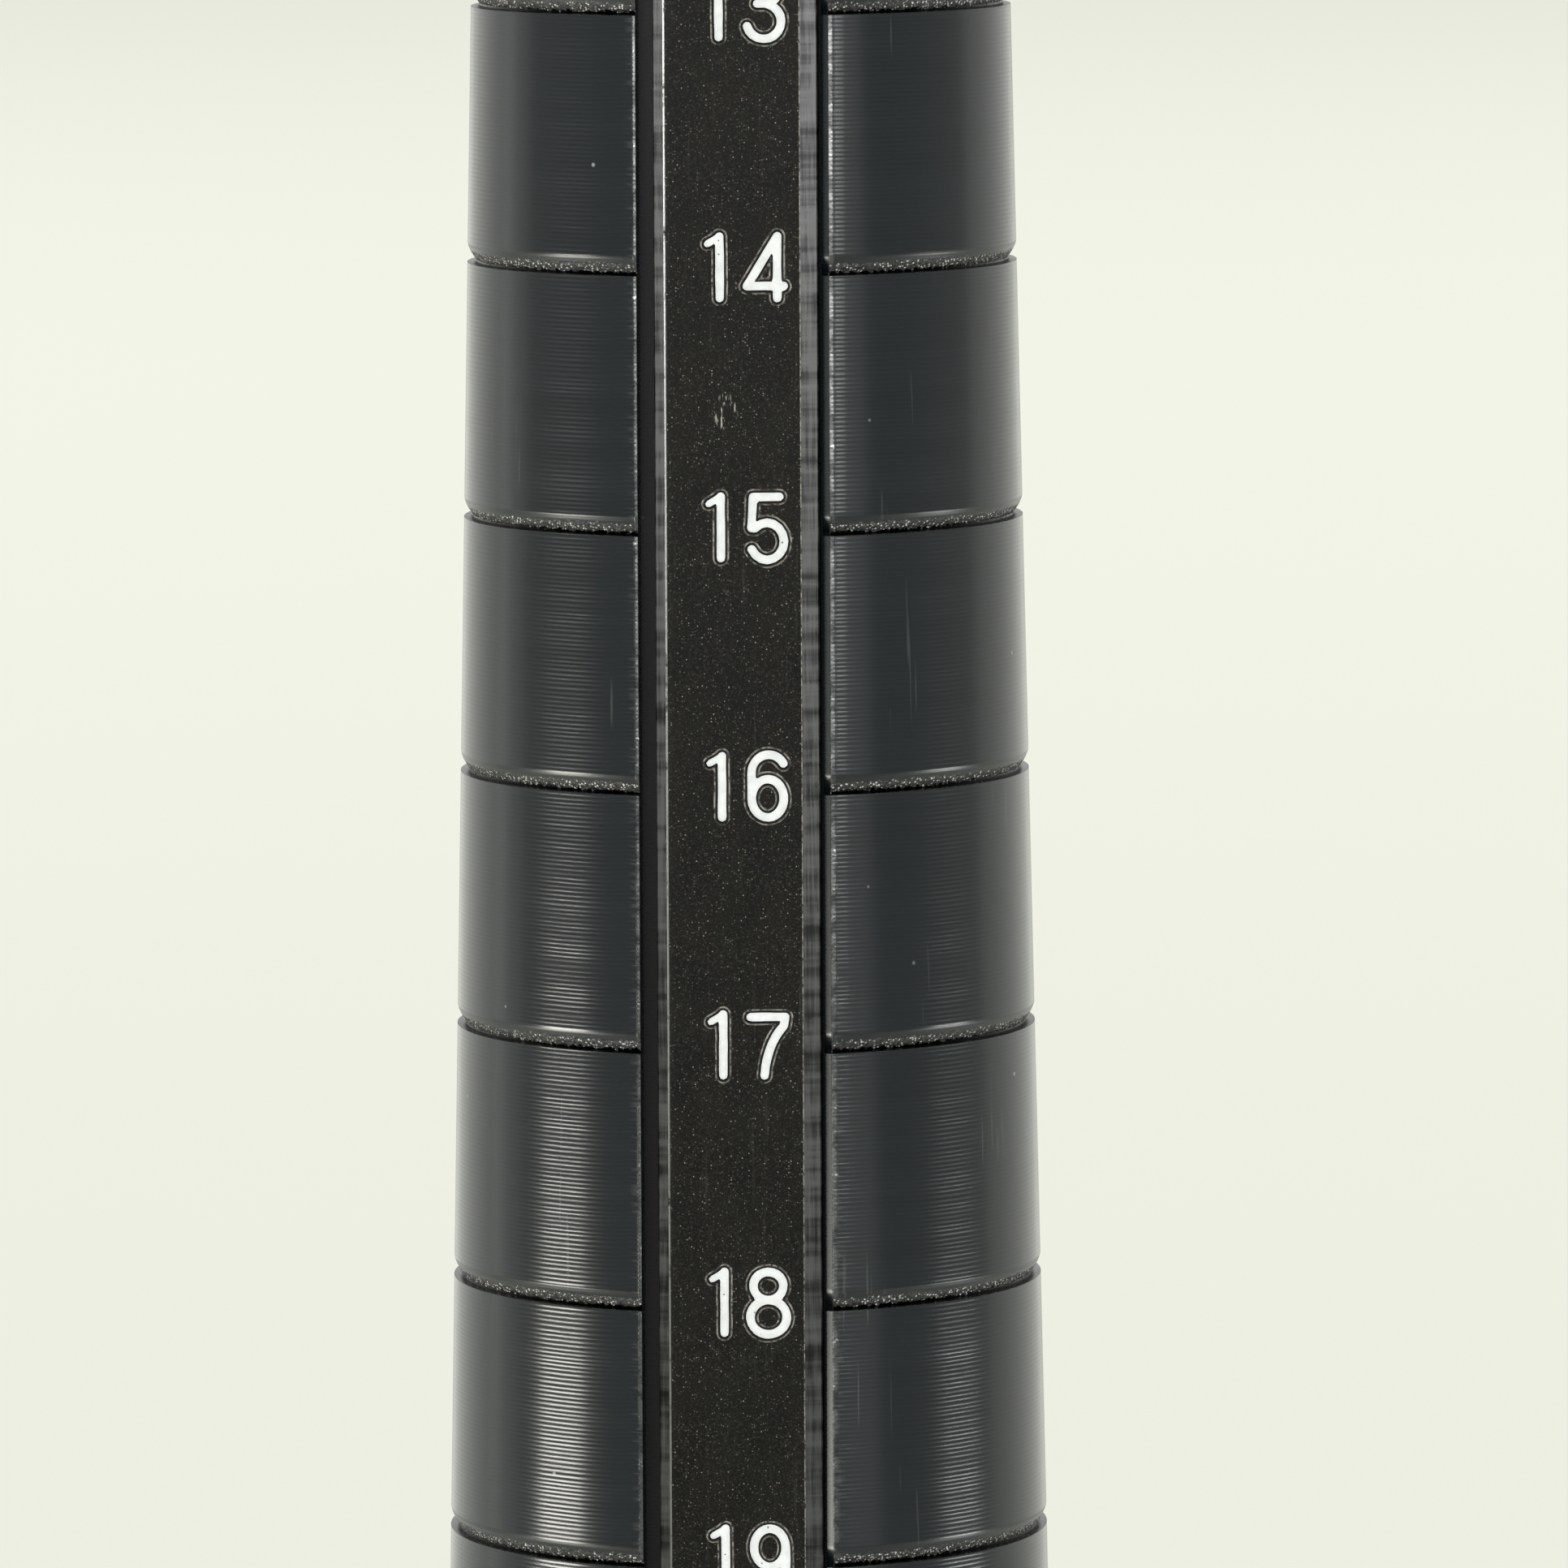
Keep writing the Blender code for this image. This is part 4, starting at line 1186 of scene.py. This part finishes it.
# The handle's outside, with a quarter of a circle at its crown and at its foot, and the stepped bore
def makeHandle():
    shape = handleShape
    low, high = boxOf("handle_grip")
    crownRound, footRound = shape["crownRound"], shape["footRound"]
    z = np.linspace(high[2] - crownRound, low[2] + footRound, shape["rows"])
    outer = np.stack((handleRadius(z), z), -1)
    turn = np.linspace(0, math.pi / 2, 6)
    topRadius, topZ = outer[0]
    crown = np.stack((topRadius - crownRound * (1 - np.sin(turn)), topZ + crownRound * np.cos(turn)), -1)
    footRadius, footZ = outer[-1]
    foot = np.stack((footRadius - footRound * (1 - np.cos(turn)), footZ - footRound * np.sin(turn)), -1)
    inner = []
    start = low[2]
    for end, radius in shape["bore"]:
        inner += [(radius, start), (radius, end)]
        start = end
    outline = np.concatenate((crown[:-1], outer, foot[1:], inner))
    handle = turnedPiece("handle_fine", outline, looks["handle_plastic"], around=144)
    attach(handle, "root")
    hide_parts("handle_grip")


padShape = {
    "rings": 4,
    "firstRing": 2.2,  # from the pad's rim
    "ringPitch": 2.6,
    "ringWidth": 1.0,
    "ringDepth": 0.35,
    "ringSlope": 0.25,  # width of each ring's sloping sides
}


# A disc with its edges broken, and shallow rings pressed into its underside
def makePad():
    shape = padShape
    low, high = boxOf("foot_pad")
    outer, top = high[0], high[2]
    rim = [(0.0, top), (outer - 0.3, top), (outer, top - 0.3)]
    rim += [(outer, 0.5), (outer - 0.15, 0.15), (outer - 0.5, 0.0)]
    slope, width, depth = shape["ringSlope"], shape["ringWidth"], shape["ringDepth"]
    rings = []
    for k in range(shape["rings"]):
        edge = outer - shape["firstRing"] - k * shape["ringPitch"]
        rings += [(edge, 0.0), (edge - slope, depth), (edge - width + slope, depth), (edge - width, 0.0)]
    pad = turnedPiece("pad_fine", rim + rings + [(0.0, 0.0)], looks["pad_rubber"])
    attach(pad, "root")
    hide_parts("foot_pad")


stageLook = {
    "floor": (0.80, 0.81, 0.735),
    "sky": (0.97, 0.98, 0.95),
    "skyStrength": 0.93,
    "floorSize": 30.0,  # metres
}


def makeStage():
    work = bmesh.new()
    bmesh.ops.create_grid(work, x_segments=2, y_segments=2, size=stageLook["floorSize"] / 2)
    mesh = bpy.data.meshes.new("floor")
    work.to_mesh(mesh)
    work.free()
    floor = bpy.data.objects.new("floor", mesh)
    bpy.context.scene.collection.objects.link(floor)
    finish = Finish("floor", stageLook["floor"], 0.9, Specular_IOR_Level=0.1)
    mesh.materials.append(finish.material)
    world = bpy.data.worlds.new("studio")
    bpy.context.scene.world = world
    world.use_nodes = True
    sky = world.node_tree.nodes["Background"]
    sky.inputs["Color"].default_value = (*stageLook["sky"], 1.0)
    sky.inputs["Strength"].default_value = stageLook["skyStrength"]


# Each softbox: direction round the object in degrees (0 is the strip's side, 90 is its right),
# height and distance of its middle, width and height of the box, all in metres, and its brightness
softboxes = {
    "lowLeft": (-75.5, 0.060, 0.50, 0.175, 0.105, 38.0),
    "lowRight": (93.0, 0.050, 0.50, 0.160, 0.080, 17.5),
    "rimLeft": (-138.0, 0.150, 0.90, 1.000, 0.300, 0.43),
    "sideLeft": (-108.0, 0.200, 0.90, 0.300, 0.500, 0.45),
    "sideRight": (46.0, 0.210, 0.50, 0.140, 0.320, 0.80),
    "rimRight": (140.0, 0.150, 0.90, 1.000, 0.300, 0.38),
    "frontLeft": (-28.0, 0.300, 0.50, 0.130, 0.140, 18.0),
    "frontRight": (32.5, 0.300, 0.50, 0.165, 0.140, 21.0),
    "frontTop": (0.0, 0.345, 0.60, 0.250, 0.140, 3.2),
}
# Each overhead panel: place of its middle, side and brightness; both face the floor
panels = {"overLeft": (-2.4, 3.1, 2.0, 3.4, 0.55), "overRight": (2.4, 3.1, 2.0, 3.4, 0.55)}
lightTints = {"lowLeft": (1.0, 0.98, 0.90)}  # every other light is white


# An area light's power for a wanted brightness is brightness x pi x area
def addLight(name, place, width, tall, brightness, toward):
    light = bpy.data.lights.new(name, "AREA")
    light.shape = "RECTANGLE"
    light.size, light.size_y = width, tall
    light.energy = brightness * math.pi * width * tall
    light.color = lightTints.get(name, (1.0, 1.0, 1.0))
    lamp = bpy.data.objects.new(name, light)
    lamp.location = place
    lamp.rotation_euler = toward.to_track_quat("-Z", "Y").to_euler()
    lamp.visible_camera = False
    bpy.context.scene.collection.objects.link(lamp)


def makeLights():
    for name, (turn, height, distance, width, tall, brightness) in softboxes.items():
        a = math.radians(turn)
        place = Vector((distance * math.sin(a), -distance * math.cos(a), height))
        addLight(name, place, width, tall, brightness, toward=Vector((-place.x, -place.y, 0.0)))
    for name, (x, y, z, side, brightness) in panels.items():
        addLight(name, Vector((x, y, z)), side, side, brightness, toward=Vector((0, 0, -1)))


cameraPlace = {
    "level": 16,  # the size whose edge it circles
    "distance": 0.3963,
    "turn": 2.3,  # degrees round the object, from the strip's side towards +X
    "elevation": 6.018,
    "swing": -0.18,  # small extra turn, dip and roll of the lens
    "dip": 0.078,
    "roll": -0.295,
    "fieldOfView": 7.176,
    "sensorWidth": 36.0,
}


# A camera on a sphere round one size's edge, facing its middle but for the small swing, dip and roll
def makeCamera():
    place = cameraPlace
    angles = (math.radians(place[k]) for k in ("turn", "elevation", "swing", "dip", "roll", "fieldOfView"))
    turn, rise, swing, dip, roll, view = angles
    look = Vector((0, 0, edgeHeight(place["level"]) * mm))
    out = Vector((math.sin(turn) * math.cos(rise), -math.cos(turn) * math.cos(rise), math.sin(rise)))
    swing, dip = turn + swing, rise + dip
    ahead = Vector((-math.sin(swing) * math.cos(dip), math.cos(swing) * math.cos(dip), -math.sin(dip)))
    right = Vector((math.cos(swing), math.sin(swing), 0))
    up = right.cross(ahead)
    c, s = math.cos(roll), math.sin(roll)
    right, up = right * c + up * s, up * c - right * s
    lens = bpy.data.cameras.new("camera")
    lens.sensor_width = place["sensorWidth"]
    lens.lens = place["sensorWidth"] / 2 / math.tan(view / 2)
    lens.clip_start, lens.clip_end = 0.01, 100
    camera = bpy.data.objects.new("camera", lens)
    camera.location = look + out * place["distance"]
    camera.rotation_euler = Matrix((right, up, -ahead)).transposed().to_euler()
    bpy.context.scene.collection.objects.link(camera)
    bpy.context.scene.camera = camera


makeCamera()
makeStage()
makeLights()
print("camera, stage and lights are up")
looks = {name: fixingMetal(name) for name in fixingLooks}
looks["turned_aluminium"] = turnedAluminium()
looks["handle_plastic"] = handlePlastic()
looks["pad_rubber"] = padRubber()
looks["adhesive_film"] = filmFinish()
makeBody()
makeStrip()
stripMiddle = stripEnds()[0]
for screwNode, screwAlong in screwPlaces(stripMiddle).items():
    makeStripScrew(screwNode, screwAlong, stripMiddle)
makeFerrule(makeSetScrew())
makeHandle()
makePad()
print("handle, ferrule and fixings are made")
carried = {
    "strip_adhesive": "adhesive_film",
    "threaded_insert": "insert_brass",
    "handle_bolt": "fixing_steel",
    "bolt_washer": "fixing_steel",
    "lock_washer": "fixing_steel",
}
for node, look in carried.items():
    mesh = frame["nodes"][node].data
    mesh.materials.clear()
    mesh.materials.append(looks[look])

bpy.context.scene.view_settings.view_transform = "Standard"
